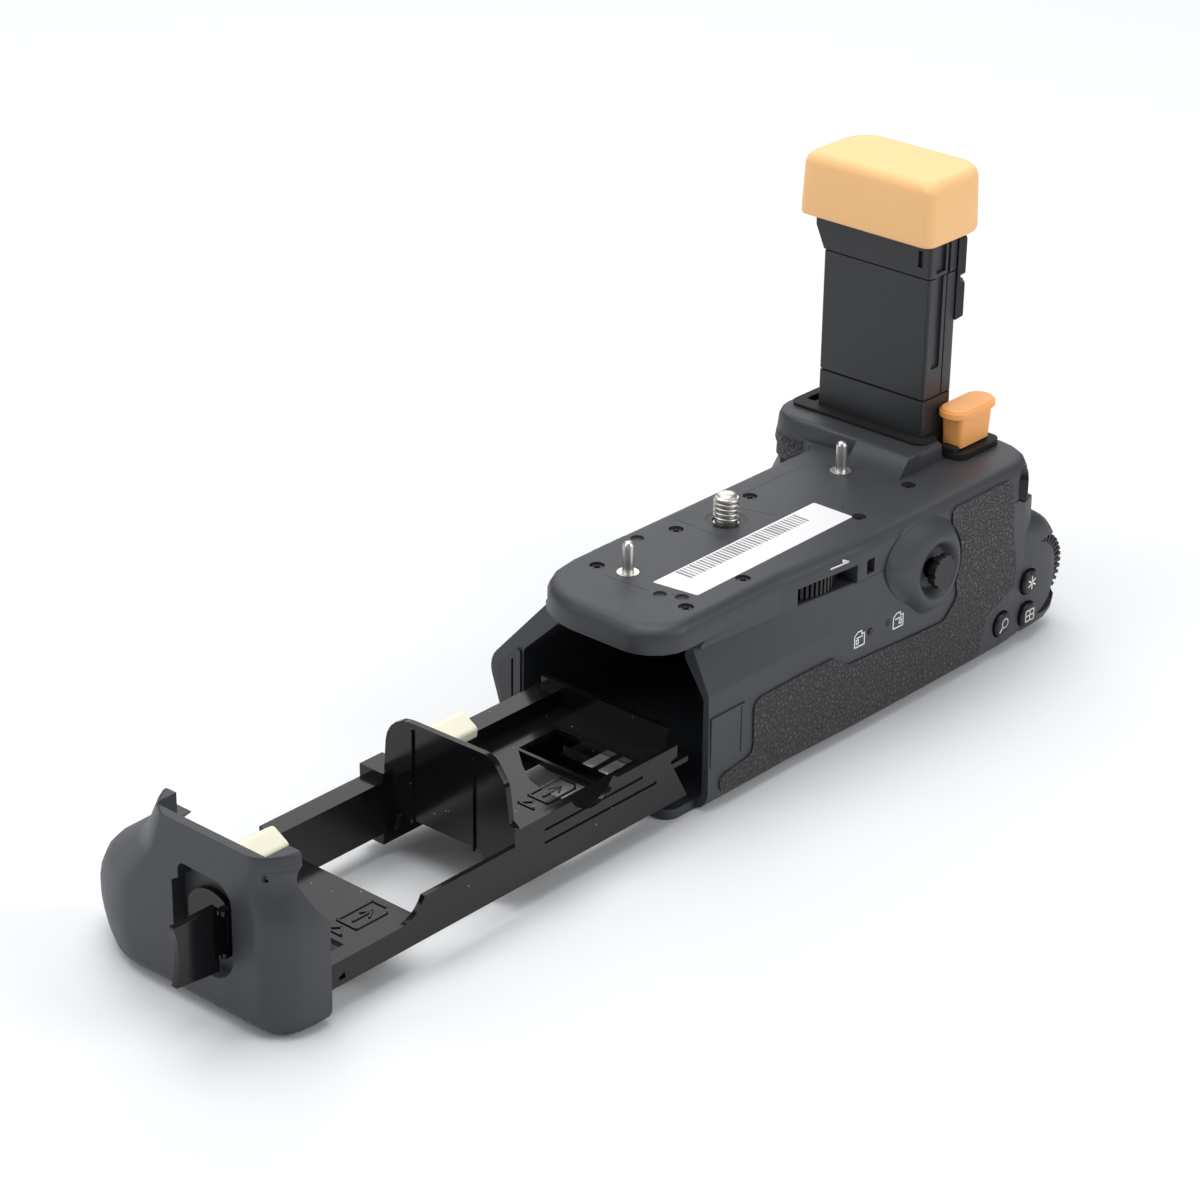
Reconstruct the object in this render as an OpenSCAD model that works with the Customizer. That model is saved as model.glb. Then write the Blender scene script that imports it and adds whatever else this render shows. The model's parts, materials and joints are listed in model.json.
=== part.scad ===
/* [Casing] */
// Distance from the tripod axis to the mouth of the magazine chamber
mouth_x = 44; // [40:1:50]
// How far the lower part of the far end stands out for the shutter hand
end_bulge = 11; // [10:0.5:12]
// Height of the parting line between casing and top cover
seam_z = 42.6; // [41.8:0.1:43]
// Distance from the tripod axis to the rear face at the mouth
rear_y = 32.7; // [32:0.1:34]
// How far the rear face swells out for the thumb
thumb_swell = 1.2; // [0.6:0.1:1.6]
// Distance from the tripod axis to the crown of the front hand grip
front_y = 39; // [38:0.2:40]
// Thickness of the casing walls
wall = 2.1; // [1.8:0.1:2.4]
// Thickness of the casing floor
floor_t = 3; // [2.6:0.1:3.4]
// How far the floor reaches out under the magazine at the mouth
tongue_l = 10; // [6:1:12]
// Front limit of the magazine chamber
chamber_front = 27.4; // [24:0.2:28]

/* [Top cover] */
// Height of the top plate that meets the camera
top_z = 52.5; // [52:0.5:54]
// Thickness of the plate where it overhangs the magazine cap
plate_t = 7; // [5:0.5:7.5]
// How far the plate overhangs the mouth of the chamber
overhang = 17; // [14:1:18]
// Distance from the tripod axis to the front edge of the plate
plate_front = 14.4; // [14:0.2:15]
// Distance from the tripod axis to the rear edge of the plate
plate_rear = 30.8; // [30:0.2:31.4]
// Corner radius of the plate in plan
plate_r = 11; // [8:1:12]
// Height of the tower base over the plate
tower_h = 4.6; // [4.2:0.2:5.2]

/* [Column] */
// Size of the column that fills the camera's battery slot, along the grip
column_l = 20.4; // [20:0.2:21]
// Size of the column across the grip
column_w = 34; // [33:0.2:35]
// Place of the column along the grip
column_x = 64; // [63.5:0.5:64.5]
// Place of the column's rear side across the grip
column_y = -11.8; // [-12:0.2:-11.4]
// Height of the sleeve at the foot of the column
sleeve_h = 11; // [8:0.5:14]
// Height of the column shell over the sleeve
shell_h = 33; // [28:1:36]
// Height of the column head over the shell
head_h = 15; // [14:0.5:18]
// Height of the large orange cover
big_cap_h = 16.6; // [14:0.2:18]

/* [Fixings] */
// Radius of the tripod screw and its socket, a quarter inch thread
screw_r = 3.175; // [3.1:0.025:3.2]
// Height of the tripod screw over the plate
screw_h = 7.4; // [6:0.2:8]
// Distance from the tripod axis to the left guide pin
pin_left = 38.8; // [36:0.2:40]
// Distance from the tripod axis to the right guide pin
pin_right = 43.8; // [42:0.2:44]
// Radius of the guide pins
pin_r = 1.4; // [1.2:0.1:1.6]
// Height of the guide pins over the plate
pin_h = 8; // [6:0.5:9]

/* [Magazine] */
// Length of a battery bay
bay_l = 57.2; // [56.8:0.1:57.6]
// Width of a battery bay
bay_w = 38.4; // [37.6:0.1:38.8]
// Depth of the magazine cap
cap_l = 15.6; // [15:0.2:16.4]
// Thickness of the rear rail
rail_t = 1.4; // [1.2:0.1:1.6]
// Height of the rail's top edge beside the outer bay
rail_z1 = 17.3; // [16:0.1:18]
// Height of the rail's top edge beside the inner bay
rail_z2 = 21.3; // [20:0.1:22]
// Height of the divider's top edge
divider_z = 37.8; // [36:0.1:38.2]
// Size of the release handle's blade away from its hinge
blade_l = 13.4; // [12:0.1:13.6]
// Height of the release handle's blade
blade_h = 15.4; // [14:0.2:16]

/* [Controls] */
// Radius of the thumb wheel's rim
wheel_r = 13.6; // [13.2:0.1:13.8]
// Distance between the thumb wheel's axle and the tripod screw
gear_gap = 18; // [18:0.1:18.4]
// Radius of the small round buttons
button_r = 3.4; // [3:0.1:3.6]
// Radius of the dials
dial_r = 10.4; // [9.6:0.1:10.8]
// Thickness of the dials
dial_t = 3.6; // [3:0.1:4]

/* [Hidden] */

charcoal = [0.2, 0.2, 0.21];
gloss_black = [0.05, 0.05, 0.055];
soft_black = [0.1, 0.1, 0.105];
cream = [0.9, 0.88, 0.74];
big_orange = [0.96, 0.78, 0.5];
small_orange = [0.96, 0.64, 0.38];
bright = [0.8, 0.8, 0.8];
brass = [0.8, 0.66, 0.3];
white = [0.95, 0.95, 0.94];

gap = 0.3;
corner_n = 5;

function unit(v) = v / norm(v);
function turned(a) = (a + 540) % 360 - 180;

// An arc that rounds the corner at b, between a and c
function corner_arc(a, b, c, r, n) =
    let (u = unit(a - b), v = unit(c - b), half = acos(u * v) / 2,
         p = b + u * r / tan(half), q = b + v * r / tan(half),
         o = b + unit(u + v) * r / sin(half),
         a0 = atan2(p[1] - o[1], p[0] - o[0]), a1 = atan2(q[1] - o[1], q[0] - o[0]))
    [for (i = [0:n]) o + r * [cos(a0 + turned(a1 - a0) * i / n), sin(a0 + turned(a1 - a0) * i / n)]];

// An outline whose corners are given as [u, v, radius]
function rounded(c, n = corner_n) =
    [for (i = [0:len(c) - 1])
        let (a = c[(i + len(c) - 1) % len(c)], b = c[i], d = c[(i + 1) % len(c)])
        each corner_arc([a[0], a[1]], [b[0], b[1]], [d[0], d[1]], b[2], n)];

// A rounded rectangle from one corner to the other
function round_box(u0, v0, u1, v1, r) = [[u0, v0, r], [u1, v0, r], [u1, v1, r], [u0, v1, r]];

// Points drawn in towards a centre, for rounding the edge of a loft
function drawn_in(pts, c, du, dv, hu, hv) =
    [for (p = pts) [c[0] + (p[0] - c[0]) * (1 - du / hu), c[1] + (p[1] - c[1]) * (1 - dv / hv)]];

// A solid through a list of rings with the same number of points
module loft(rings) {
    n = len(rings[0]);
    m = len(rings);
    sides = [for (k = [0:m - 2]) for (i = [0:n - 1]) each [
        [k * n + i, (k + 1) * n + i, (k + 1) * n + (i + 1) % n],
        [k * n + i, (k + 1) * n + (i + 1) % n, k * n + (i + 1) % n]]];
    caps = [[for (i = [0:n - 1]) i], [for (i = [n - 1:-1:0]) (m - 1) * n + i]];
    polyhedron([for (r = rings) each r], concat(caps, sides), convexity = 6);
}

// The same upright, with the rings listed from the top down and each end fanned from its middle or
// from a given point that sees the whole outline
module loft_down(rings, given = []) {
    n = len(rings[0]);
    m = len(rings);
    up = [for (i = [m - 1:-1:0]) rings[i]];
    eye = len(given) == 2 ? given : [for (p = up[0]) 1] * up[0] / n;
    sides = [for (k = [0:m - 2]) for (i = [0:n - 1]) each [
        [k * n + i, (k + 1) * n + i, (k + 1) * n + (i + 1) % n],
        [k * n + i, (k + 1) * n + (i + 1) % n, k * n + (i + 1) % n]]];
    fans = [for (i = [0:n - 1]) each [[m * n, i, (i + 1) % n],
        [m * n + 1, (m - 1) * n + (i + 1) % n, (m - 1) * n + i]]];
    middle = [[eye[0], eye[1], up[0][0][2]], [eye[0], eye[1], up[m - 1][0][2]]];
    polyhedron(concat([for (r = up) each r], middle), concat(fans, sides), convexity = 6);
}

// A flat outline in Y and Z, drawn out along X
module along_x(x0, x1, outline) {
    translate([x0, 0, 0]) rotate([90, 0, 90]) linear_extrude(x1 - x0) polygon(outline);
}

// A flat outline in X and Z, drawn out along Y
module along_y(y0, y1, outline) {
    translate([0, y1, 0]) rotate([90, 0, 0]) linear_extrude(y1 - y0) polygon(outline);
}

module slab(x0, y0, z0, x1, y1, z1) {
    translate([x0, y0, z0]) cube([x1 - x0, y1 - y0, z1 - z0]);
}

// A plate with round corners in plan
module plate(x0, y0, x1, y1, r, z0, z1) {
    translate([0, 0, z0]) linear_extrude(z1 - z0) polygon(rounded(round_box(x0, y0, x1, y1, r)));
}

module rod_x(x0, x1, y, z, r) {
    translate([x0, y, z]) rotate([0, 90, 0]) cylinder(h = x1 - x0, r = r, $fn = 48);
}

module rod_y(y0, y1, x, z, r) {
    translate([x, y1, z]) rotate([90, 0, 0]) cylinder(h = y1 - y0, r = r, $fn = 48);
}

module rod_z(z0, z1, x, y, r) {
    translate([x, y, z0]) cylinder(h = z1 - z0, r = r, $fn = 48);
}

module turned_about(c, a) {
    translate([c[0], c[1], 0]) rotate([0, 0, a]) translate([-c[0], -c[1], 0]) children();
}

// The magazine draws out by its two bays and their walls, and the housing is as long as it needs
plate_end = -mouth_x - overhang;
travel = 2 * bay_l + 9.8;
chamber_end = plate_end + travel + 15.8;
end_x = chamber_end + 11;

// Casing: where its rear face, upper rear edge and upper front edge lie at x
plate_z0 = top_z - plate_t;
casing_mid = seam_z / 2;
function rear_at(x) = -rear_y - lookup(x, [[-mouth_x, 0], [-10, 0.1], [15, thumb_swell * 0.8],
    [45, thumb_swell], [end_x, thumb_swell]]);
function upper_rear_at(x) = -lookup(x, [[-mouth_x, plate_rear - 4.2], [-24, plate_rear - 1.6],
    [14, cover_rear - 0.1], [end_x, cover_rear]]);
function upper_front_at(x) = lookup(x, [[-mouth_x, plate_front + 3.4], [44, plate_front + 3.4],
    [63, front_y - 5.4], [end_x, front_y - 5.4]]);

function casing_corners(x) = [
    [rear_at(x), 0, 5], [front_y - 5.4, 0, 5], [front_y + 0.4, casing_mid * 0.8, 7],
    [upper_front_at(x) + 1.6, seam_z - 3.6, 3], [upper_front_at(x), seam_z, 0.6],
    [upper_rear_at(x), seam_z, 0.6], [rear_at(x) + lookup(x, [[15, 0.6], [30, 0.1]]),
        seam_z - 11.5, 4]];
function casing_ring(x, d = 0) =
    [for (p = drawn_in(rounded(casing_corners(x)), [0, casing_mid], d, d, 36, casing_mid)) [x,
        p[0], p[1]]];

module casing_body() {
    loft([for (x = [-mouth_x, -24, -10, 4, 15, 30, 40, 48, 54, 60, 68, 76]) casing_ring(x),
        casing_ring(end_x - 8, 0.3), casing_ring(end_x - 4, 1.4), casing_ring(end_x - 1.4, 3.6),
            casing_ring(end_x, 6.5)]);
}

// The lower part of the far end, swollen for the shutter hand
bulge_x = end_x + end_bulge;
function bulge_ring(x, h, d) =
    [for (p = rounded([[rear_at(end_x) + d, 0.2 + d, 6 - d * 0.5], [front_y - 3 - d * 2, 0.2 + d,
        6 - d * 0.5],
        [front_y - 3 - d * 2, h, 6 - d * 0.5], [rear_at(end_x) + d, h, 6 - d * 0.5]])) [x, p[0], p[1]]];

module end_bulge_body() {
    loft([bulge_ring(chamber_end + 1, 35.5, 1), bulge_ring(end_x - 4, 35.5, 0),
        bulge_ring(end_x + 1, 34.6, 0),
        bulge_ring(end_x + 5, 32, 0.2), bulge_ring(bulge_x - 3.4, 29, 0.8), bulge_ring(bulge_x - 1,
            26.4, 2),
        bulge_ring(bulge_x, 24, 4)]);
}

chamber_z = floor_t;
chamber_top = seam_z - 2;
function chamber_corners() = [[-rear_y + wall, chamber_z, 2], [chamber_front, chamber_z, 3],
    [chamber_front, 23.5, 3], [13.4, 37, 3], [11, chamber_top, 1],
    [-23.4, chamber_top, 3], [-rear_y + wall + 0.1, 30, 3]];

// Controls: where the middle of each crown lies
dial_x = bulge_x - dial_r + 2.4;
dial_z = 16.5;
dial_y = rear_at(end_x) + 2.6;
dial_axle_r = 1.5;
star_at = [end_x - 5, rear_at(end_x), 17];
grid_at = [end_x - 5, rear_at(end_x), 7.6];
zoom_at = [end_x - 16.6, rear_at(end_x), 8.8];
focus_at = [end_x - 9, -rear_y + 0.8, 45.6];
button_deep = 2;
shutter_deep = 4;
stick_x = 40;
stick_z = 36.8;
socket_r = 6.2;
light_x = [17.2, 24.2];
light_z = 26.7;
light_r = 0.9;
shutter_y = 22;
shutter_z = 15;
shutter_r = 5;
switch_x = 62;
switch_z = 16;
switch_r = 6;

module button_hole(p, r) {
    rod_y(p[1] - 3, p[1] + button_deep, p[0], p[2], r + 0.35);
}

// The hollow round the control dial, open to the rear only beyond an arc
module dial_hollow() {
    rod_y(dial_y, dial_y + dial_t + 0.8, dial_x, dial_z, dial_r + 0.7);
    rod_y(dial_y + 0.4, dial_y + dial_t + 3, dial_x, dial_z, dial_axle_r);
    difference() {
        rod_y(dial_y - 3, dial_y + 1, dial_x, dial_z, dial_r + 0.7);
        rod_y(dial_y - 4, dial_y + 2, dial_x - 6, dial_z, dial_r + 0.4);
    }
}

module main_casing() {
    color(charcoal) difference() {
        union() {
            casing_body();
            end_bulge_body();
            plate(-mouth_x - tongue_l, -rear_y + 4, -mouth_x + 8, 14, 4, 0, floor_t - 0.4);
        }
        along_x(-mouth_x - 1, chamber_end, rounded(chamber_corners()));
        slab(-mouth_x - 1, -24.4, chamber_top - 4, -mouth_x + 7, 12, seam_z + 1);
        rod_z(seam_z - 1.4, seam_z + 1, 0, -gear_gap, axle_r);
        rod_z(-1, socket_h, 0, 0, socket_outer);
        for (p = [star_at, grid_at, zoom_at]) button_hole(p, button_r);
        for (x = light_x) rod_y(-rear_y - 4, -rear_y + wall + 1, x, light_z, light_r + 0.05);
        rod_y(-rear_y - 12, stick_back, stick_x, stick_z, socket_r + 1.2);
        dial_hollow();
        focus_hole();
        rod_x(bulge_x - shutter_deep, bulge_x + 3, shutter_y, shutter_z, shutter_r + 0.35);
        rod_y(front_y - 4.4, front_y + 4, switch_x, switch_z, switch_r + 0.35);
        rod_y(front_y - 8, front_y - 4, switch_x, switch_z, 2);
        slab(panel_x0, -rear_y - 3, panel_z0, panel_x1, -rear_y + panel_deep, panel_z1);
    }
}

// The small panel beside the mouth
panel_x0 = -mouth_x + 0.6;
panel_x1 = -mouth_x + 13.4;
panel_z0 = 11.8;
panel_z1 = 25.2;
panel_deep = 0.9;

module side_panel() {
    color(charcoal) difference() {
        slab(panel_x0 + 0.1, -rear_y, panel_z0 + 0.1, panel_x1 - 0.1, -rear_y + panel_deep,
            panel_z1 - 0.1);
        slab(panel_x1 - 1.9, -rear_y - 1, panel_z0 + 0.6, panel_x1 - 1.4, -rear_y + 0.3,
            panel_z1 - 0.6);
    }
}

// Skins that follow the casing wall: a thin shell cut to an outline in X and Z
skin_t = 0.5;
skin_x = [-41, -24, -10, 4, 15, 30, 40, 48, 54, 60, 68, end_x - 9];

module skin_shell() {
    difference() {
        loft([for (x = skin_x) casing_ring(x, -skin_t)]);
        loft([for (x = concat([-42], [for (i = [1:10]) skin_x[i]], [end_x - 8])) casing_ring(x, 0)]);
    }
}

rear_skin_outline = [[-40, 3.4, 3], [end_x - 27, 3.4, 2], [end_x - 24, 13.6, 3], [end_x - 17, 16.4,
    3], [end_x - 11.6, 19, 3],
    [end_x - 12, 26, 3], [end_x - 14, 34, 4], [end_x - 14.4, seam_z - 0.3, 0.2], [49, seam_z - 0.3,
        0.2], [52.4, 24, 3], [47, 19.2, 3], [8.6, 20.8, 3], [2.6, 24.6, 3], [-27.4, 24.2, 3],
    [-27.4, 10, 3], [-40, 8.4, 2]];

module rear_skin() {
    color(soft_black) difference() {
        union() {
            intersection() {
                skin_shell();
                along_y(-rear_y - thumb_swell - 3, -20, rounded(rear_skin_outline));
            }
            along_y(-cover_rear - skin_t, -cover_rear, rounded([[49, seam_z - 0.6, 0.2],
                [end_x - 14.4, seam_z - 0.6, 0.2], [end_x - 15.4, top_z - 2.6, 3], [48.4,
                    top_z - 2.6, 2]]));
        }
        rod_y(-rear_y - 6, -20, stick_x + 0.5, stick_z - 1, 12.7);
    }
}

front_skin_outline = [[-36, 4.4, 3], [end_x - 13, 4.4, 3], [end_x - 13, seam_z - 0.8, 2], [64,
    seam_z - 0.8, 2], [52, 24, 6], [-36, 24, 3]];

module front_skin() {
    color(soft_black) difference() {
        intersection() {
            skin_shell();
            along_y(20, front_y + 4, rounded(front_skin_outline));
        }
        rod_y(front_y - 9, front_y + 4, switch_x, switch_z, switch_r + 1.4);
    }
}

// Liner seated in the front half of the mouth
module mouth_frame() {
    color(soft_black) difference() {
        along_x(-mouth_x - 0.6, -mouth_x, rounded([[chamber_front + 0.6, 5, 1], [front_y - 5.4, 5, 2],
            [front_y - 2.4, 15, 3], [chamber_front + 0.6, 25, 1]]));
        slab(-mouth_x - 1, 30.4, 9.6, -mouth_x + 1, 31, 20);
    }
}

// Top cover
cover_rear = rear_y + 0.9;

function cover_corners() = [
    [plate_end, -plate_rear, plate_r], [-16, -plate_rear, 20], [12, -cover_rear, 20], [end_x,
        -cover_rear, 13],
    [end_x, front_y - 5.4, 10], [60, front_y - 5.4, 6], [52, plate_front, 5], [plate_end,
        plate_front, plate_r + 7]];
function seam_corners() = [
    [plate_end, 3 - plate_rear, plate_r], [-16, -plate_rear, 20], [12, -cover_rear, 20], [end_x,
        -cover_rear, 13],
    [end_x, front_y - 5.4, 10], [60, front_y - 5.4, 6], [52, plate_front + 2.6, 5], [plate_end,
        plate_front + 2.6, plate_r + 7]];
function cover_ring(z, d) =
    [for (p = drawn_in(rounded(cover_corners()), [14, -8], d, d, 74, 24)) [p[0], p[1], z]];

tower_x0 = column_x - 10.5;
tower_x1 = column_x + column_l + 1.4;
tower_y0 = column_y - 4.4;
tower_y1 = column_y + column_w + 9;
tower_z = top_z + tower_h;
function tower_corners(d) = [[tower_x0 + d, tower_y0 + d, 3], [tower_x1 - d, tower_y0 + d, 3],
    [tower_x1 - d, tower_y1 - d, 6], [tower_x0 + d, tower_y1 - d, 9]];
function tower_ring(z, d) = [for (p = rounded(tower_corners(d))) [p[0], p[1], z]];

ramp_x = 48;
conn_x = 77.9;
conn_y = -15.9;
conn_z = top_z + 0.4;

// The space cleared beside the tower for the camera connector
module connector_space() {
    plate(conn_x - 10.6, conn_y - 8, end_x + 6, conn_y + 3.7, 2, conn_z, top_z + 20);
}

module top_cover() {
    color(charcoal) difference() {
        union() {
            difference() {
                loft_down([cover_ring(top_z, 3.2), cover_ring(top_z - 0.5, 1.6),
                    cover_ring(top_z - 1.5, 0.5),
                    cover_ring(top_z - 3, 0), cover_ring(plate_z0 + 0.7, 0),
                    [for (p = rounded(seam_corners())) [p[0], p[1], seam_z]]], [column_x, 5]);
                slab(plate_end - 1, -rear_y - 3, seam_z - 1, gap - mouth_x, front_y, plate_z0);
            }
            difference() {
                loft_down([tower_ring(tower_z, 1.4), tower_ring(tower_z - 0.6, 0.4),
                    tower_ring(tower_z - 1.6, 0),
                    tower_ring(top_z - 4, -0.6)]);
                connector_space();
            }
            along_y(-16.4, 0.4, [[ramp_x, top_z - 1], [ramp_x + 4.6, tower_z - 0.3], [tower_x0 + 4,
                tower_z - 0.3],
                [tower_x0 + 4, top_z - 1]]);
        }
        plate(-mouth_x + 6, -plate_rear + 3.2, 46, plate_front - 3, 3, seam_z - 1, pocket_z);
        rod_z(pocket_z - 0.8, top_z + 1, 0, 0, bush_r);
        rod_z(wheel_z1 + 0.4, pocket_z, 0, -gear_gap, wheel_teeth / 2 + 1.15);
        rod_y(boss_y + 0.9, stick_back + 0.3, stick_x, stick_z, socket_r + 1.45);
        for (x = [-pin_left, pin_right]) {
            rod_z(top_z - 4, top_z + 1, x, pin_y, pin_r);
            rod_z(top_z - 0.7, top_z + 1, x, pin_y, pin_r + 1.5);
        }
        wheel_window();
        plate(column_x - 2.6, column_y - 1.8, column_x1 + 0.1, column_y + column_w + 6, 2,
            tower_z - 2.2, tower_z + 1);
        plate(conn_x - 9.6, conn_y - 5.6, conn_x + 8.8, conn_y + 3.4, 3, top_z - 1.4, top_z + 1);
        translate([0, 0, top_z - label_t]) linear_extrude(1) polygon(label_outline(0.15));
        for (p = screw_at) rod_z(top_z - 3, top_z + 4, p[0], p[1], 1.9);
        for (p = rivet_at) rod_z(top_z - 0.6, top_z + 1, p[0], p[1], 1.7);
        focus_hole();
    }
}

// The slot in the rear of the cover where the thumb wheel shows
module wheel_window() {
    slab(-10.4, -plate_rear - 3, seam_z - 1, 10.4, -plate_rear + 8, wheel_z1 + 0.5);
    slab(14, -cover_rear - 4, wheel_z0 + 0.6, 17, -cover_rear + 2.4, wheel_z1 + 0.5);
}

// An oval bar along Y: radius across, half height, and its two ends
module oval_y(r, half, y0, y1) {
    straight = half - r;
    slab(-r, y0, -straight, r, y1, straight);
    rod_y(y0, y1, 0, straight, r);
    rod_y(y0, y1, 0, -straight, r);
}

module focus_hole() {
    translate(focus_at) rotate([0, 0, 45]) oval_y(3.05, 4.85, -6, 4.4);
}

// Screws let into the top cover, and shallow round marks beside them
screw_at = [[-41.3, 6], [-12.5, 5.6], [15.3, 4.9], [-22.9, -24.3], [-44.1, -24.4], [24.2, -22.7],
    [48.2, -20]];
rivet_at = [[-23, 9.1], [-43.1, -15.5], [-40.8, -20.4]];

module cover_screws() {
    color(gloss_black) for (p = screw_at) difference() {
        union() {
            rod_z(top_z - 2.2, top_z - 0.5, p[0], p[1], 1.75);
            rod_z(top_z - 3, top_z - 2.2, p[0], p[1], 1);
        }
        slab(p[0] - 1, p[1] - 0.25, top_z - 1.1, p[0] + 1, p[1] + 0.25, top_z);
        slab(p[0] - 0.25, p[1] - 1, top_z - 1.1, p[0] + 0.25, p[1] + 1, top_z);
    }
}

// The white label, let into the plate so that the camera lies flat
label_t = 0.15;
function label_outline(d) = rounded([[-39.3 - d, d - 9.9, 0.4], [-37.5 - d, -22.4 - d, 0.4],
    [23.2 + d, -21.6 - d, 0.4], [23.2 + d, d - 9.3, 0.4]], 2);

module label_plate() {
    color(white) translate([0, 0,
        top_z - label_t]) linear_extrude(label_t - 0.02) polygon(label_outline(0));
}

pin_y = -1.7;
module guide_pins() {
    color(bright) for (x = [-pin_left, pin_right]) {
        rod_z(top_z - 4, top_z + pin_h - 1, x, pin_y, pin_r);
        rod_z(top_z - 0.7, top_z - 0.05, x, pin_y, pin_r + 1.4);
        translate([x, pin_y, top_z + pin_h - 1]) cylinder(h = 0.7, r1 = pin_r, r2 = pin_r - 0.45,
            $fn = 48);
        translate([x, pin_y, top_z + pin_h - 0.3]) cylinder(h = 0.3, r1 = pin_r - 0.45, r2 = 0.3,
            $fn = 48);
    }
}

// Soft rings round the feet of the column and of the small connector
module tower_gasket() {
    color(gloss_black) difference() {
        union() {
            plate(column_x - 2.4, column_y - 1.6, tower_x1 - 2.2, column_y + column_w + 5.8, 2,
                tower_z - 2.2, tower_z + 0.6);
            plate(column_x - 3.6, column_y - 2.6, tower_x1 - 1.2, column_y + column_w + 6.8, 3,
                tower_z + 0.1, tower_z + 0.8);
        }
        column_plan(0.1, tower_z - 3, tower_z + 2);
        slab(column_x + 1, column_y + column_w + 1.4, tower_z - 0.8, tower_x1 - 4,
            column_y + column_w + 4.4, tower_z + 2);
        connector_space();
    }
}

module connector_gasket() {
    color(gloss_black) difference() {
        union() {
            plate(conn_x - 9.5, conn_y - 5.5, conn_x + 8.7, conn_y + 3.3, 3, top_z - 1.4, top_z + 1.6);
            plate(conn_x - 9.5, conn_y - 3.6, conn_x - 7, conn_y + 1.4, 1, top_z + 0.5, top_z + 3);
        }
        slab(conn_x - 5.6, conn_y - 2.4, top_z - 2, conn_x + 5.6, conn_y + 2.4, top_z + 4);
    }
}

module camera_connector() {
    color(gloss_black) difference() {
        slab(conn_x - 5.5, conn_y - 2.3, top_z - 1.4, conn_x + 5.5, conn_y + 2.3, top_z + 4.4);
        slab(conn_x - 4.6, conn_y - 1.4, top_z + 1.2, conn_x + 4.6, conn_y + 1.4, top_z + 6);
    }
    color(brass) slab(conn_x - 4.2, conn_y - 0.4, top_z + 0.8, conn_x + 4.2, conn_y + 0.4, top_z + 3.8);
}

// Column: a plan with one bevelled edge, carried up through sleeve, shell and head
sleeve_z = tower_z - 2.2;
shell_z = tower_z + sleeve_h;
head_z = shell_z + shell_h;
column_top = head_z + head_h;
column_x1 = column_x + column_l;
column_y1 = column_y + column_w;
bevel = 9;

module column_plan(d, z0, z1) {
    translate([0, 0, z0]) linear_extrude(z1 - z0) polygon(rounded([[column_x - d, column_y - d, 0.8],
        [column_x1 - bevel, column_y - d, 1.5], [column_x1 + d, column_y + bevel, 1.5],
            [column_x1 + d, column_y1 + d, 1.5],
        [column_x - d, column_y1 + d, 0.8]], 3));
}

module column_sleeve() {
    color(soft_black) column_plan(0, sleeve_z, shell_z - 0.3);
}

module column_shell() {
    color(soft_black) difference() {
        union() {
            column_plan(0, shell_z + 0.1, head_z - 0.3);
            column_plan(-0.5, shell_z - 0.3, head_z);
        }
        slab(column_x + 2.6, column_y - 1, shell_z + 8, column_x + 5.8, column_y + 0.8, head_z + 1);
        slab(column_x + 7.2, column_y - 1, shell_z - 1, column_x + 7.6, column_y + 0.5, head_z + 1);
    }
}

module column_head() {
    color(soft_black) difference() {
        union() {
            column_plan(0, head_z, column_top - 3);
            along_x(column_x, column_x1 - 1.2, [[column_y1 - 2, head_z], [column_y1, head_z],
                [column_y1 + 2.8, head_z + 6],
                [column_y1 + 2.8, column_top - 3], [column_y1 - 2, column_top - 3]]);
        }
        slab(column_x - 1, column_y + 2.6, head_z + 2.6, column_x + 1, column_y + 4, head_z + 7);
        slab(column_x + 2.6, column_y - 1, head_z + 1, column_x + 6.4, column_y + 0.8, head_z + 20);
        slab(column_x + 7.2, column_y - 1, head_z - 1, column_x + 8.4, column_y + 0.5, head_z + 20);
        plate(column_x + 2.6, column_y + 9, column_x1 - 2.6, column_y1 - 3, 1, column_top - 6,
            column_top);
    }
}

module terminal_block() {
    color(gloss_black) difference() {
        plate(column_x + 2.7, column_y + 9.1, column_x1 - 2.7, column_y1 - 3.1, 1, column_top - 6,
            column_top - 0.6);
        for (i = [0:3]) slab(column_x + 5, column_y + 11 + i * 4.6, column_top - 3, column_x + 12,
            column_y + 13 + i * 4.6, column_top + 1);
    }
    color(brass) for (i = [0:3])
        slab(column_x + 5.4, column_y + 11.4 + i * 4.6, column_top - 3.2, column_x + 11.6,
            column_y + 12.6 + i * 4.6, column_top - 1);
}

// The strip of hooks on the bevelled edge of the column
module column_catch() {
    color(soft_black) translate([column_x1 - bevel, column_y, 0]) rotate([0, 0, 45])
        along_x(-0.4, 3.2, [[0, head_z - 14], [-2.2, head_z - 12.6], [-2.2, head_z - 3.6], [-1,
            head_z - 3],
            [-1, head_z - 1.6], [-2.2, head_z - 1], [-2.2, head_z + 8.6], [0, head_z + 8.6]]);
}

// Large orange cover over the column's contacts
cap_x0 = column_x - 3.9;
cap_x1 = column_x1 + 1.9;
cap_y0 = column_y - 2;
cap_y1 = column_y1 + 6.4;
cap_z0 = head_z + 9.4;
cap_z1 = cap_z0 + big_cap_h;
function cap_ring(z, d, r, s) = [for (p = rounded([[cap_x0 + d, cap_y0 + d, r], [cap_x1 - d,
    cap_y0 + d, s],
    [cap_x1 - d, cap_y1 - d, s], [cap_x0 + d, cap_y1 - d, r]], 6)) [p[0], p[1], z]];

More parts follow.
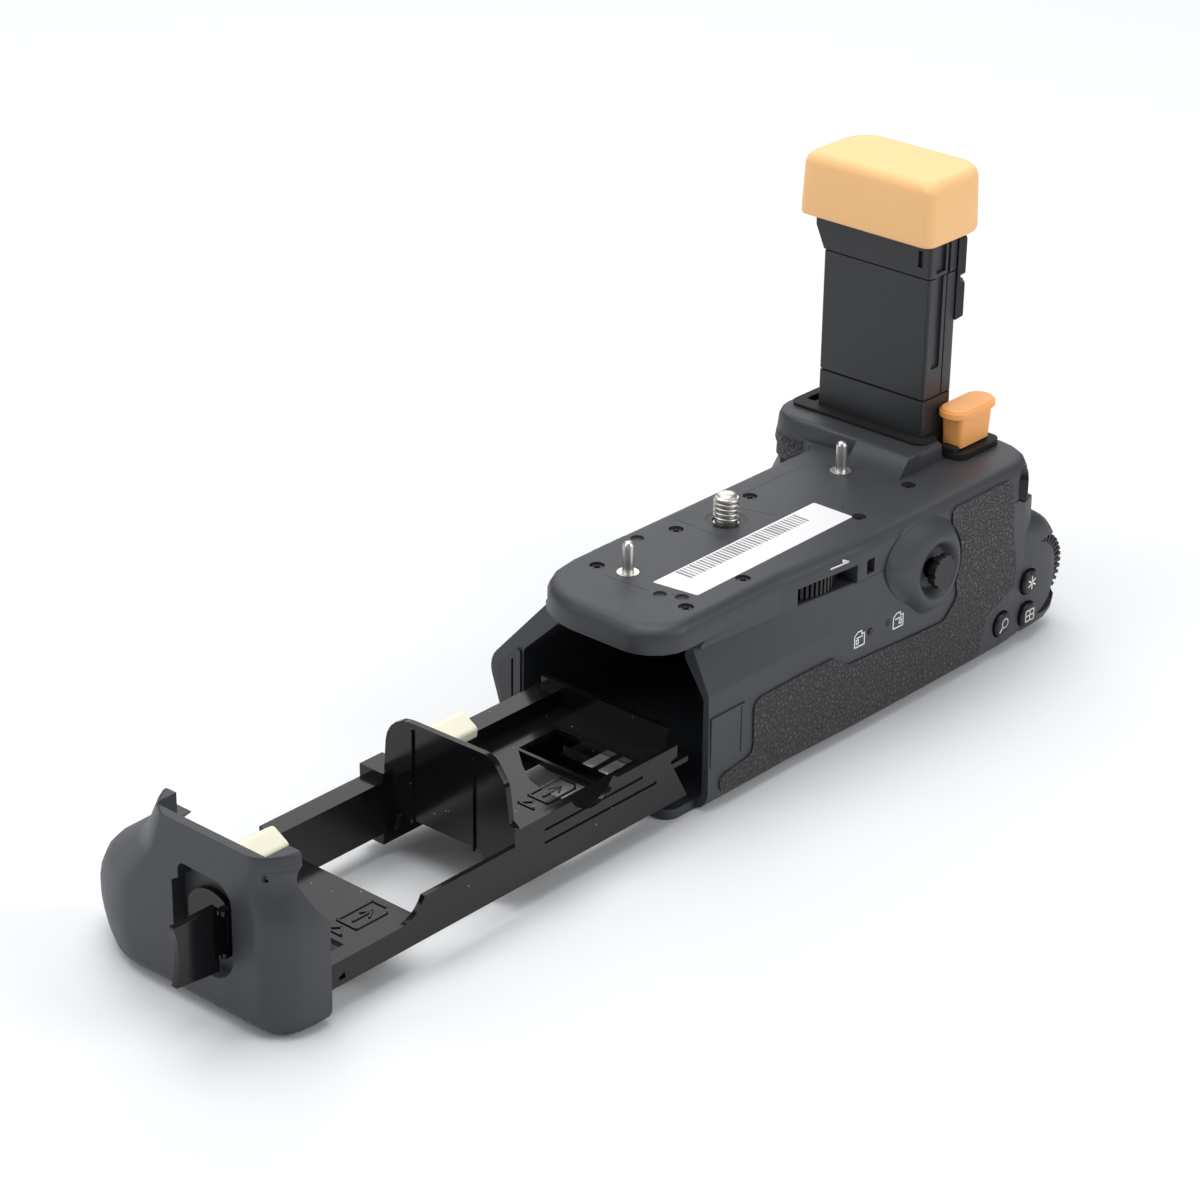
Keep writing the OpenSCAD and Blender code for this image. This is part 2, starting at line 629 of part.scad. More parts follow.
module big_cover() {
    color(big_orange) difference() {
        loft_down([cap_ring(cap_z1, 3.4, 3, 6), cap_ring(cap_z1 - 0.4, 1.9, 3, 7),
            cap_ring(cap_z1 - 1.4, 0.9, 3, 8),
            cap_ring(cap_z1 - 3, 0.5, 2.8, 8), cap_ring(cap_z0 + 0.6, 0, 3, 8.6), cap_ring(cap_z0,
                0.3, 2.6, 8.4)]);
        column_plan(0.3, cap_z0 - 1, column_top + 0.6);
        slab(column_x - 0.3, column_y1 - 1, cap_z0 - 1, column_x1 - 0.9, column_y1 + 3.1,
            column_top + 0.6);
        translate([column_x1 - bevel, column_y, 0]) rotate([0, 0, 45]) slab(0.4, -2.6, cap_z0 - 1,
            4.8, 1, cap_z0 + 1);
    }
}

// Small orange cover over the camera connector
small_z = top_z + 2;
small_h = 10.6;
module small_cover() {
    color(small_orange) difference() {
        union() {
            loft_down([for (k = [[small_h - 2, 6.9, 3.3], [0, 6.5, 3]])
                [for (p = rounded(round_box(-k[1], -k[2], k[1], k[2], 1.2))) [conn_x + p[0],
                    conn_y + p[1], small_z + k[0]]]]);
            plate(conn_x - 9.2, conn_y - 4.3, conn_x + 9.2, conn_y + 4.3, 4.1,
                small_z + small_h - 2.1, small_z + small_h - 0.5);
            plate(conn_x - 8.7, conn_y - 3.8, conn_x + 8.7, conn_y + 3.8, 3.7,
                small_z + small_h - 0.6, small_z + small_h);
        }
        slab(conn_x - 5.7, conn_y - 2.5, small_z - 1, conn_x + 5.7, conn_y + 2.5, top_z + 4.6);
        column_plan(0.2, tower_z, tower_z + 20);
    }
}

// Tripod screw, its gear, the bush that carries it and the socket in the base
pocket_z = top_z - 2.4;
bush_r = 5.2;
wheel_z0 = seam_z + gap;
wheel_z1 = wheel_z0 + 4;
gear_z0 = wheel_z1 + gap;
gear_z1 = gear_z0 + 2.5;
socket_outer = 5;
socket_h = 5.6;
screw_teeth = 14;
wheel_teeth = 22;
tooth_module = gear_gap / (screw_teeth + wheel_teeth) * 2;
axle_r = 1.6;
half_tooth = 180 / wheel_teeth;

// A spur gear in plan, its teeth as trapezia round the root circle
function gear_points(n, m, turn) = [for (i = [0:n - 1])
    each [for (k = [[-0.32, -1.25], [-0.13, 0.9], [0.13, 0.9], [0.32, -1.25]])
        let (a = (i + k[0]) * 360 / n + turn, r = m * n / 2 + k[1] * m) [r * cos(a), r * sin(a)]]];

module tripod_screw() {
    color(bright) {
        rod_z(seam_z + gap, top_z + 0.3, 0, 0, screw_r + 0.2);
        rod_z(top_z + 0.3, top_z + screw_h - 0.8, 0, 0, screw_r);
        translate([0, 0, top_z + screw_h - 0.8]) cylinder(h = 0.8, r1 = screw_r, r2 = screw_r - 1,
            $fn = 48);
        translate([0, 0,
            gear_z0]) linear_extrude(gear_z1 - gear_z0) polygon(gear_points(screw_teeth,
            tooth_module, -90));
    }
}

module screw_bush() {
    color(bright) difference() {
        rod_z(pocket_z - 0.3, top_z - 0.05, 0, 0, bush_r - 0.02);
        rod_z(pocket_z - 1, top_z + 1, 0, 0, screw_r + 0.25);
    }
}

module tripod_socket() {
    color(bright) difference() {
        rod_z(0, socket_h, 0, 0, socket_outer);
        rod_z(-1, socket_h + 1, 0, 0, screw_r);
    }
}

module thumb_wheel() {
    color(gloss_black) difference() {
        union() {
            rod_z(wheel_z0, wheel_z1, 0, -gear_gap, wheel_r - 0.9);
            for (i = [0:59]) turned_about([0, -gear_gap], i * 6)
                slab(wheel_r - 1.4, -gear_gap - 0.38, wheel_z0, wheel_r, -gear_gap + 0.38, wheel_z1);
            translate([0, -gear_gap, wheel_z1 - 0.1]) linear_extrude(gear_z1 - wheel_z1)
                polygon(gear_points(wheel_teeth, tooth_module, 90 + half_tooth));
        }
        rod_z(seam_z, top_z, 0, -gear_gap, axle_r + 0.04);
    }
}

module wheel_axle() {
    color(bright) rod_z(seam_z - 1.4, pocket_z, 0, -gear_gap, axle_r);
}

// Inner pieces
module circuit_board() {
    color([0.05, 0.25, 0.12]) slab(-34, -7, pocket_z - 1.6, -14.8, 10, pocket_z);
    color(gloss_black) slab(-30, -3, pocket_z - 2.8, -22, 5, pocket_z - 1.6);
}

module chamber_contacts() {
    color(gloss_black) slab(chamber_end - 1.4, -12, 18, chamber_end, 2, 30);
    color(brass) for (i = [0:3]) slab(chamber_end - 1.9, -10.4 + i * 3, 20, chamber_end - 1.3,
        -9.2 + i * 3, 28);
}

// Joystick
boss_y = rear_at(stick_x) - 3;
stick_back = rear_at(stick_x) + 7;
pivot_y = boss_y + 5.6;

// How far the boss reaches from the stick at each angle from straight up, with a wing to the left
function boss_reach(a) = lookup(a, [[0, 13.4], [60, 12], [90, 11.4], [130, 12], [183, 12.9], [221,
    10.8], [243, 12],
    [270, 16.4], [288, 20.4], [302, 19.6], [321, 17.6], [347, 14.4], [360, 13.4]]);
function boss_ring(y,
    k) = [for (i = [0:35]) let (r = socket_r * 1.16 * k + boss_reach(i * 10) * (1 - k))
    [stick_x + r * sin(i * 10), y, stick_z + r * cos(i * 10)]];

module joystick_boss() {
    color(charcoal) difference() {
        union() {
            loft([boss_ring(boss_y, 1), boss_ring(boss_y + 0.4, 0.86), boss_ring(boss_y + 1.4, 0.62),
                boss_ring(boss_y + 2.4, 0.24), boss_ring(boss_y + 2.98, 0)]);
            rod_y(boss_y + 1, stick_back, stick_x, stick_z, socket_r + 1.15);
        }
        rod_y(boss_y - 1, stick_back - 1.2, stick_x, stick_z, socket_r);
    }
}

module joystick_gimbal() {
    color(bright) difference() {
        rod_y(pivot_y - 1, pivot_y + 1, stick_x, stick_z, socket_r - 0.8);
        rod_y(pivot_y - 2, pivot_y + 2, stick_x, stick_z, socket_r - 1.8);
    }
}

module joystick_yoke() {
    color(bright) difference() {
        rod_y(pivot_y - 0.8, pivot_y + 0.8, stick_x, stick_z, socket_r - 2.3);
        rod_y(pivot_y - 2, pivot_y + 2, stick_x, stick_z, 1.54);
    }
}

module joystick_stem() {
    color(soft_black) rod_y(boss_y + 0.4, pivot_y + 1.6, stick_x, stick_z, 1.5);
}

module joystick_cap() {
    color(soft_black) difference() {
        rod_y(boss_y - 1.8, boss_y + 0.4, stick_x, stick_z, 4.5);
        for (i = [0:7]) translate([stick_x, 0, stick_z]) rotate([0, i * 45, 0])
            translate([4.9, boss_y - 0.6, 0]) rotate([90, 0, 0]) cylinder(h = 4, r = 0.9,
                center = true, $fn = 24);
    }
}

module charge_lights() {
    color(soft_black) for (x = light_x)
        rod_y(rear_at(x) + 0.2, -rear_y + wall + 0.6, x, light_z, light_r);
}

// Buttons
module round_button(p) {
    rod_y(p[1] - 0.6, p[1] + button_deep - 0.7, p[0], p[2], button_r);
    translate([p[0], p[1] - 0.6, p[2]]) rotate([90, 0, 0]) cylinder(h = 0.5, r1 = button_r,
        r2 = button_r - 0.9, $fn = 48);
}

module star_button() { color(gloss_black) round_button(star_at); }
module grid_button() { color(gloss_black) round_button(grid_at); }
module zoom_button() { color(gloss_black) round_button(zoom_at); }

module focus_button() {
    color(gloss_black) translate(focus_at) rotate([0, 0, 45]) oval_y(2.7, 4.5, -1.6, 2.6);
}

module shutter_button() {
    color(gloss_black) rod_x(bulge_x - shutter_deep + 1, bulge_x + 0.6, shutter_y, shutter_z,
        shutter_r);
}

// The control dial, its axle along Y, with ribs over the rim and the edge of its face
module control_dial() {
    color(gloss_black) difference() {
        union() {
            rod_y(dial_y + 0.5, dial_y + dial_t + 0.4, dial_x, dial_z, dial_r - 0.5);
            for (i = [0:35]) translate([dial_x, 0, dial_z]) rotate([0, i * 10, 0])
                slab(dial_r - 5, dial_y + 0.1, -0.5, dial_r, dial_y + dial_t + 0.4, 0.5);
        }
        rod_y(dial_y - 1, dial_y + dial_t + 1, dial_x, dial_z, dial_axle_r + 0.04);
    }
}

module dial_axle() {
    color(bright) rod_y(dial_y + 0.3, dial_y + dial_t + 3, dial_x, dial_z, dial_axle_r);
}

module lock_switch() {
    color(soft_black) {
        rod_y(front_y - 4, front_y + 0.8, switch_x, switch_z, switch_r);
        slab(switch_x - 1.2, front_y, switch_z - 0.5, switch_x + 1.2, front_y + 2.4,
            switch_z + switch_r + 0.6);
        rod_y(front_y - 7, front_y - 4, switch_x, switch_z, 1.95);
    }
}

// Magazine, drawn out
cap_x = plate_end - travel;
rim_x = cap_x + cap_l;
tray_x0 = cap_x + 17.4;
divider_x = tray_x0 + bay_l + 1.2;
divider_t = 1.6;
tray_x1 = divider_x + divider_t + bay_l + divider_t;
rail_y = -rear_y + wall + gap;
bay_y0 = rail_y + rail_t;
bay_y1 = bay_y0 + bay_w;
tray_z = 6.3;
keel_z = floor_t + gap;
floor1_z = 12.5;
floor2_z = 16.9;
mount_y = -9.9;
mount_z = 22;
hinge_y = mount_y - 5.1;
hinge_x = cap_x + 1;
cap_top = plate_z0 - 0.5;
cap_mid = -10;

mag_corners = [[-rear_y, 0, 4], [front_y - 5, 0, 7], [front_y + 2, casing_mid * 0.8, 13],
    [19.4, 33.4, 18], [12.5, cap_top, 2.4], [-31.6, cap_top, 0.8], [-31.8, 41.5, 2], [-28.8, 38,
        7], [-rear_y, 28, 12]];
function mag_ring(x, front, rear, low) =
    [for (p = rounded(mag_corners)) [x,
        p[0] > cap_mid ? p[0] - front * (p[0] - cap_mid) / (front_y - cap_mid)
            : p[0] + rear * (cap_mid - p[0]) / (cap_mid + rear_y),
        p[1] + low * (1 - p[1] / cap_top)]];

module magazine_cap() {
    color(charcoal) difference() {
        loft([mag_ring(cap_x, 23, 7.5, 4.8), mag_ring(cap_x + 0.5, 20, 5.8, 3.4),
            mag_ring(cap_x + 1.4, 16.8, 4.4, 2.2),
            mag_ring(cap_x + 3, 12.8, 2.8, 1), mag_ring(cap_x + 5.5, 8.2, 1.2, 0.3),
                mag_ring(cap_x + 8, 5, 0.3, 0),
            mag_ring(cap_x + 12, 1.8, 0, 0), mag_ring(rim_x, 0.3, 0, 0)]);
        along_x(cap_x + 9, rim_x + 1, rounded([[-rear_y + 2.4, 2.6, 3], [front_y - 10, 2.6, 3],
            [front_y - 7, 16, 4],
            [10, 36, 3], [8, cap_top + 5, 1], [-28, cap_top + 5, 1], [-25.6, 38, 3],
                [-rear_y + 2.6, 27, 3]]));
        along_x(cap_x + 5.6, rim_x, rounded([[-rear_y + 4.4, 4.4, 3], [20, 4.4, 3], [20, 20, 4],
            [2, 36, 3], [0, cap_top - 3, 1], [-24, cap_top - 3, 1], [-25, 38, 3], [-rear_y + 4.4,
                27, 3]]));
        slab(rim_x - tongue_l - 1, -rear_y + 3, -1, rim_x + 1, 15, floor_t);
        recess();
        rod_x(cap_x - 1, cap_x + 7, mount_y, mount_z, 3.1);
        slab(cap_x + 2.3, -27.6, 37.4, rim_x + 1, 6.6, cap_top + 2);
        slab(cap_x + 8.4, 4, 36, rim_x + 1, 30, cap_top + 2);
        along_y(-rear_y - 4, -20, [[rim_x + 1, 24], [rim_x - 3.6, 30], [rim_x - 6.6, 36.4],
            [rim_x - 6.6, cap_top + 1], [rim_x + 1, cap_top + 1]]);
    }
}

// The hollow in the cap that takes the folded handle
module recess() {
    along_x(cap_x - 1, cap_x + 3.8, rounded([[-2.3, mount_z - 11.6, 2], [-2.3, mount_z - 9.4, 0.5],
        [-0.2, mount_z - 8, 0.5], [-0.2, mount_z + 7.8, 0.5], [-2.3, mount_z + 9, 0.5], [-2.3,
            mount_z + 13.2, 2],
        [-18.9, mount_z + 12.8, 5], [-18.9, mount_z - 11.6, 7]]));
}

module handle_base() {
    color(gloss_black) rod_x(cap_x + 2.2, cap_x + 3.6, mount_y, mount_z, 7.9);
    color(gloss_black) rod_x(cap_x + 3.6, cap_x + 7, mount_y, mount_z, 3.05);
    color(gloss_black) for (s = [-1, 1]) translate([0, 0, mount_z + s * 5.2]) difference() {
        union() {
            slab(hinge_x - 0.2, hinge_y - 1.2, -0.6, cap_x + 2.3, hinge_y + 1.2, 0.6);
            rod_z(-0.6, 0.6, hinge_x, hinge_y, 1.2);
        }
        rod_z(-2, 2, hinge_x, hinge_y, 0.7);
    }
}

// The blade that the hand lifts and turns, narrower towards its outer end
module release_handle() {
    blade_x = cap_x - blade_l;
    color(gloss_black) difference() {
        union() {
            slab(cap_x - 3, hinge_y - 0.9, mount_z - 4.4, hinge_x, hinge_y + 0.9, mount_z + 4.4);
            along_y(hinge_y - 0.9, hinge_y + 0.9, [[blade_x, mount_z - blade_h / 2 + 0.6],
                [cap_x - 1.2, mount_z - blade_h / 2 - 0.6],
                [cap_x - 1.2, mount_z + blade_h / 2], [blade_x, mount_z + blade_h / 2]]);
            rod_z(mount_z - 4.4, mount_z + 4.4, hinge_x, hinge_y, 0.9);
            rod_z(mount_z - 5.7, mount_z + 5.7, hinge_x, hinge_y, 0.66);
        }
        rod_y(hinge_y - 3, hinge_y + 3, blade_x - 23.4, mount_z, 24.4);
    }
}

module release_claw() {
    color(bright) {
        rod_x(cap_x + 7, cap_x + 8.8, mount_y, mount_z, 4);
        slab(cap_x + 7, mount_y - 2, mount_z - 2, cap_x + 8.6, mount_y + 9, mount_z + 2);
    }
}

// The rear rail in X and Z: low by the cap, dipped for a finger, high by the inner bay
rail_end = tray_x1 - 4;
module rail() {
    dip1 = tray_x0 + 22;
    dip2 = divider_x + 27;
    difference() {
        union() {
            slab(tray_x0, rail_y, tray_z, divider_x + 1, bay_y0, rail_z1);
            along_y(rail_y, bay_y0, [[divider_x, tray_z], [rail_end + 4, tray_z], [rail_end - 2.4,
                rail_z2 - 3.6],
                [rail_end, rail_z2 - 3], [rail_end, rail_z2], [divider_x, rail_z2]]);
        }
        slab(tray_x0 - 1, rail_y - 1, floor1_z, dip1, bay_y0 + 1, rail_z2);
        rod_y(rail_y - 1, bay_y0 + 1, dip1, floor1_z + 8, 8);
        rod_y(rail_y - 1, bay_y0 + 1, dip2, floor2_z + 9.4, 9.4);
        slab(divider_x + 10, rail_y - 1, rail_z2 - 4, divider_x + 44, rail_y + 0.4, rail_z2 - 3.2);
        slab(divider_x + 10, rail_y - 1, rail_z2 - 7.4, divider_x + 49, rail_y + 0.4, rail_z2 - 6.6);
    }
}

// The divider in Y and Z: its rear edge leans in as the casing does
module divider() {
    along_x(divider_x, divider_x + divider_t, rounded([[rail_y, tray_z, 0.5], [rail_y,
        rail_z2 + 0.6, 0.6],
        [-28.6, rail_z2 + 1.6, 0.6], [-27.4, divider_z - 6, 5], [-23, divider_z, 5], [bay_y1 + 0.4,
            divider_z - 0.6, 8],
        [bay_y1 + 1.6, rail_z2, 3], [bay_y1 + 1.6, tray_z, 0.5], [8.4, tray_z, 0.5], [6.6,
            tray_z + 5.8, 2],
        [-19, tray_z + 6, 3], [-26, tray_z, 2]]));
    for (y = [1.7, -17.6]) slab(divider_x - 0.6, y - 0.3, floor1_z - 1, divider_x + 0.2, y + 0.3,
        divider_z - 2.2);
}

beam_t = 6;
beam1_z = 20;
beam2_z = 22.2;
beam3_z = 21;
latch1_x = tray_x0 + 8.8;
latch2_x = divider_x + 12;
latch_l = 14;
latch_y = bay_y1 + 2.9;
latch_z = keel_z + 4.6;
spring_at = latch_l / 2 - 1.2;

// The front beams with a window for each latch
module beams() {
    difference() {
        union() {
            slab(tray_x0, bay_y1, tray_z, divider_x, bay_y1 + beam_t, beam1_z);
            slab(divider_x - 1.6, bay_y1, keel_z, tray_x1, bay_y1 + beam_t, beam3_z);
        }
        slab(tray_x0 - 1, bay_y1 + 1.4, keel_z - 1, tray_x1 + 1, bay_y1 + beam_t - 1.4, beam1_z - 1.4);
        for (x = [latch1_x, latch2_x])
            slab(x, bay_y1 - 1, keel_z + 6, x + latch_l, bay_y1 + beam_t + 1, beam2_z + 2);
    }
}

module deck(x0, x1, z) {
    slab(x0, rail_y, z - 1.4, x1, bay_y1 + 1, z);
}

module tray_frame() {
    color(gloss_black) difference() {
        union() {
            rail();
            deck(tray_x0, tray_x0 + 28, floor1_z);
            deck(divider_x, tray_x1, floor2_z);
            beams();
            slab(tray_x1 - divider_t, rail_y + 5.4, tray_z, tray_x1, bay_y1 + beam_t, 22.8);
            slab(divider_x - 2, bay_y1, keel_z, divider_x + 5.4, bay_y1 + beam_t + 1.6, beam2_z);
            divider();
            slab(divider_x, -24, keel_z, tray_x1, -22.6, floor2_z);
            for (y = [bay_y0, bay_y1 - 3]) slab(cap_x + 9.1, y, 7.4, tray_x0 + 1, y + 3, floor1_z);
            for (x = [latch1_x, latch2_x]) for (s = [-1.6, latch_l]) slab(x + s, bay_y1 + 1,
                latch_z - 2, x + s + 1.6, bay_y1 + 5, latch_z + 2);
        }
        for (x = [latch1_x, latch2_x]) rod_x(x - 1.7, x + latch_l + 1.7, latch_y, latch_z, 0.8);
        slab(divider_x + 36, -22.5, floor2_z - 3, divider_x + 49.6, 1.8, floor2_z + 1);
        translate([0, 0, floor2_z - 3]) linear_extrude(5) polygon([[divider_x + 35, 1],
            [divider_x + 30, -5],
            [divider_x + 26, -11], [divider_x + 24.4, -17], [divider_x + 24.6, -22.5],
                [divider_x + 35, -22.5]]);
        translate([0, 0, floor1_z - 3]) linear_extrude(5) polygon([[tray_x0 + 4.5, -26],
            [tray_x0 + 8.5, -26],
            [tray_x0 + 8.5, -21], [tray_x0 + 6.5, -21]]);
        slab(tray_x0 + 2.6, rail_y - 1, tray_z + 1.4, tray_x0 + 4.6, rail_y + 2, tray_z + 3);
    }
}

// A battery latch: a lever on a pin along X, with a nose over the bay
module latch(x, rise) {
    difference() {
        along_x(x + gap, x + latch_l - gap, rounded([[latch_y - 1.3, latch_z - 1.5, 0.5],
            [latch_y + 1.3, latch_z - 1.5, 0.5],
            [latch_y + 1.3, latch_z + rise - 1, 1], [latch_y - 2, latch_z + rise + 1.2, 1.4],
                [latch_y - 7, latch_z + rise - 1.6, 1.2],
            [latch_y - 6.6, latch_z + rise - 4.4, 1], [latch_y - 1.3, latch_z + rise - 5.4, 1]]));
        rod_x(x - 1, x + latch_l + 1, latch_y, latch_z, 0.84);
        rod_x(x + spring_at - 0.3, x + spring_at + 2.7, latch_y, latch_z, 1.8);
    }
}

module outer_latch() { color(cream) latch(latch1_x, 13.2); }
module inner_latch() { color(cream) latch(latch2_x, 18.6); }

module latch_pins() {
    color(bright) for (x = [latch1_x, latch2_x]) rod_x(x - 1.6, x + latch_l + 1.6, latch_y,
        latch_z, 0.78);
}

// Each spring is a coil about the latch's pin, with a leg that rests on the beam
module latch_springs() {
    color(bright) for (x = [latch1_x, latch2_x]) difference() {
        union() {
            rod_x(x + spring_at, x + spring_at + 2.4, latch_y, latch_z, 1.5);
            slab(x + spring_at, latch_y - 1.5, keel_z + 1.6, x + spring_at + 0.6, latch_y - 0.9,
                latch_z);
        }
        rod_x(x, x + latch_l, latch_y, latch_z, 0.84);
    }
}

module bay_contacts() {
    color(bright) {
        for (y = [-20.4, -15.4]) slab(divider_x + 43, y, floor2_z - 2, divider_x + 51.6, y + 3,
            floor2_z - 1.6);
    }
}

main_casing();
top_cover();
rear_skin();
front_skin();
side_panel();
mouth_frame();
tower_gasket();
connector_gasket();
column_sleeve();
column_shell();
column_head();
column_catch();
terminal_block();
joystick_boss();
charge_lights();
guide_pins();
cover_screws();
label_plate();
circuit_board();
chamber_contacts();
tripod_socket();
screw_bush();
wheel_axle();
camera_connector();
dial_axle();
tripod_screw();
thumb_wheel();
magazine_cap();
tray_frame();
bay_contacts();
latch_pins();
latch_springs();
outer_latch();
inner_latch();
handle_base();
release_handle();
release_claw();
joystick_gimbal();
joystick_yoke();
joystick_stem();
joystick_cap();
focus_button();
star_button();
grid_button();
zoom_button();
shutter_button();
control_dial();
lock_switch();
big_cover();
small_cover();
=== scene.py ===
# %% [markdown]
# # A camera battery grip on a pale table
# The grip's solids come in as a fixed frame: every piece is already at its true size and place.
# This script only dresses them. It rounds the moulded edges, cuts the screw thread, and gives
# each piece the finish that its maker gave it. Blender measures in metres, and MM is a millimetre.

# %% Load the frame
import json
import math

import bmesh
import bpy
from mathutils import Matrix, Vector
from mathutils.bvhtree import BVHTree


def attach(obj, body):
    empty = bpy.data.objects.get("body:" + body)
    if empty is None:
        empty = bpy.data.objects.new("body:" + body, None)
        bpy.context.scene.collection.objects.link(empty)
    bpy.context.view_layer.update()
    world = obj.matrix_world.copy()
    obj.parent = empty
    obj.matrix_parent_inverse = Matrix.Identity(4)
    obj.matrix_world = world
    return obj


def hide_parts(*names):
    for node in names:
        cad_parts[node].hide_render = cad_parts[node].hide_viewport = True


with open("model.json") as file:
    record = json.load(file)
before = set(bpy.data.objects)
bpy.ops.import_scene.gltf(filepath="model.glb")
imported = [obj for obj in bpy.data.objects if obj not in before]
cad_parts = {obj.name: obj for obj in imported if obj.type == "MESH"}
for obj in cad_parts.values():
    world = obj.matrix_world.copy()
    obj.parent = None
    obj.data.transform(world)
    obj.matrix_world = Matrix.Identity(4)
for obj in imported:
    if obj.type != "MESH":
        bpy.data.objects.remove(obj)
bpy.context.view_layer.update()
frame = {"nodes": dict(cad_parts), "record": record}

MM = 0.001
scene = bpy.context.scene

# %% [markdown]
# ## The camera
# The photograph was taken with a long lens from the left rear, a little above the grip. A camera could
# be tracked to a point and moved until it looks right. Here its place, its three angles and its lens were
# worked out from the grip's own straight edges, so that the render can be laid over the photograph.

# %% Camera
LENS_MM = 105
SENSOR_MM = 36
eye = Vector((-612.73, -496.06, 412.05)) * MM
azimuth = math.radians(-48.76)
elevation = math.radians(25.87)
roll = math.radians(0.79)

back = Vector((math.sin(azimuth) * math.cos(elevation), -math.cos(azimuth) * math.cos(elevation),
               math.sin(elevation)))
level_right = Vector((math.cos(azimuth), math.sin(azimuth), 0))
level_up = back.cross(level_right)
right = level_right * math.cos(roll) + level_up * math.sin(roll)
up = back.cross(right)

camera_data = bpy.data.cameras.new("camera")
camera_data.lens = LENS_MM
camera_data.sensor_width = SENSOR_MM
camera = bpy.data.objects.new("camera", camera_data)
camera.matrix_world = Matrix.Translation(eye) @ Matrix((right, up, back)).transposed().to_4x4()
scene.collection.objects.link(camera)
scene.camera = camera
scene.view_settings.view_transform = "Standard"
print("camera stands off, m:", round(eye.length, 3))

# %% [markdown]
# ## Shader sums as plain Python
# A finish is a small sum: a colour, plus some mottling, minus some wear. It could be wired node by node,
# but that hides the sum. This class wraps one socket instead, so that `wire * 2 + 1` adds the Math nodes.


# %% A wire that can be added and multiplied
class Wire:
    """One output socket of a shader tree, with Python's operators."""

    def __init__(self, finish, socket):
        self.finish = finish
        self.socket = socket

    def sum_of(self, operation, first, second):
        return self.finish.node("ShaderNodeMath", {"operation": operation}, {0: first, 1: second}).out()

    def __add__(self, other): return self.sum_of("ADD", self, other)
    def __radd__(self, other): return self.sum_of("ADD", other, self)
    def __sub__(self, other): return self.sum_of("SUBTRACT", self, other)
    def __rsub__(self, other): return self.sum_of("SUBTRACT", other, self)
    def __mul__(self, other): return self.sum_of("MULTIPLY", self, other)
    def __rmul__(self, other): return self.sum_of("MULTIPLY", other, self)
    def above(self, level): return self.sum_of("GREATER_THAN", self, level)


# %% A material under construction
class Made:
    """A node that was just added, with a short way to its outputs."""

    def __init__(self, finish, node):
        self.finish = finish
        self.node = node

    def out(self, name=0):
        return Wire(self.finish, self.node.outputs[name])


class Finish:
    """A material under construction, read in Object coordinates."""

    def __init__(self, name, **plain):
        self.material = bpy.data.materials.new(name)
        self.material.use_nodes = True
        self.tree = self.material.node_tree
        self.shader = self.tree.nodes["Principled BSDF"]
        for socket, value in plain.items():
            self.shader.inputs[socket.replace("_", " ")].default_value = value
        self.place = self.node("ShaderNodeTexCoord").out("Object")

    def node(self, kind, settings=None, values=None):
        """Adds a node, with its settings first and then the values or wires of its sockets."""
        made = self.tree.nodes.new(kind)
        for key, value in (settings or {}).items():
            if key == "stops":
                while len(made.color_ramp.elements) < len(value):
                    made.color_ramp.elements.new(0.5)
                for stop, (position, shade) in zip(made.color_ramp.elements, value):
                    stop.position = position
                    stop.color = (shade, shade, shade, 1)
            else:
                setattr(made, key, value)
        for key, value in (values or {}).items():
            self.feed(made.inputs[key], value)
        return Made(self, made)

    def feed(self, socket, value):
        if isinstance(value, Wire):
            self.tree.links.new(value.socket, socket)
        else:
            socket.default_value = value

    def noise(self, size, detail=2.0, rough=0.5, place=None):
        """Soft noise whose lumps are about as wide as size, in metres."""
        values = {"Vector": place or self.place, "Scale": 1 / size, "Detail": detail, "Roughness": rough}
        return self.node("ShaderNodeTexNoise", {}, values).out(0)

    def cells(self, size, feature="F1", place=None):
        """Distance pattern of scattered cells about as wide as size, in metres."""
        values = {"Vector": place or self.place, "Scale": 1 / size}
        return self.node("ShaderNodeTexVoronoi", {"feature": feature}, values).out("Distance")

    def stretched(self, x, y, z):
        """The place with each axis stretched, for scratches and brushing."""
        return self.node("ShaderNodeMapping", {}, {"Vector": self.place, "Scale": (x, y, z)}).out()

    def ramp(self, value, *stops):
        return self.node("ShaderNodeValToRGB", {"stops": stops}, {0: value}).out()

    def between(self, low, high, factor):
        """A number that runs from low to high with the factor."""
        return low + factor * (high - low)

    def mixed(self, first, second, factor):
        """A colour between two colours."""
        made = self.node("ShaderNodeMix", {"data_type": "RGBA"}, {0: factor, 6: (*first, 1), 7: (*second, 1)})
        return made.out(2)

    def bump(self, height, depth):
        """A shading normal that follows a height pattern, whose full range is depth, in metres."""
        return self.node("ShaderNodeBump", {}, {"Height": height, "Distance": depth, "Strength": 1.0}).out()

    def set(self, **sockets):
        for socket, value in sockets.items():
            self.feed(self.shader.inputs[socket.replace("_", " ")], value)
        return self.material


# %% [markdown]
# ## Finishes
# The housing is moulded plastic under a dense matte paint, with a grain a third of a millimetre wide.
# An image would show its edges and its size, so noises make it: a fine one for the grain, a broad one
# for a faint cloudiness, and one between them for how the light breaks up where hands have rubbed it.


# %% Sprayed housing and satin column
def sprayed(name, colour, rough, grain, depth):
    """Plastic under a fine textured paint."""
    made = Finish(name, IOR=1.5, Specular_IOR_Level=0.5)
    fine = made.noise(grain, detail=3.0, rough=0.6)
    cloudy = made.noise(12 * MM, detail=3.0)
    rubbed = made.noise(2.4 * MM, detail=4.0, rough=0.65)
    base = made.mixed([c * 0.88 for c in colour], [c * 1.14 for c in colour], cloudy * 0.6 + fine * 0.4)
    worn = made.between(rough - 0.07, rough + 0.1, rubbed * 0.6 + cloudy * 0.4)
    return made.set(Base_Color=base, Roughness=worn, Normal=made.bump(fine, depth))


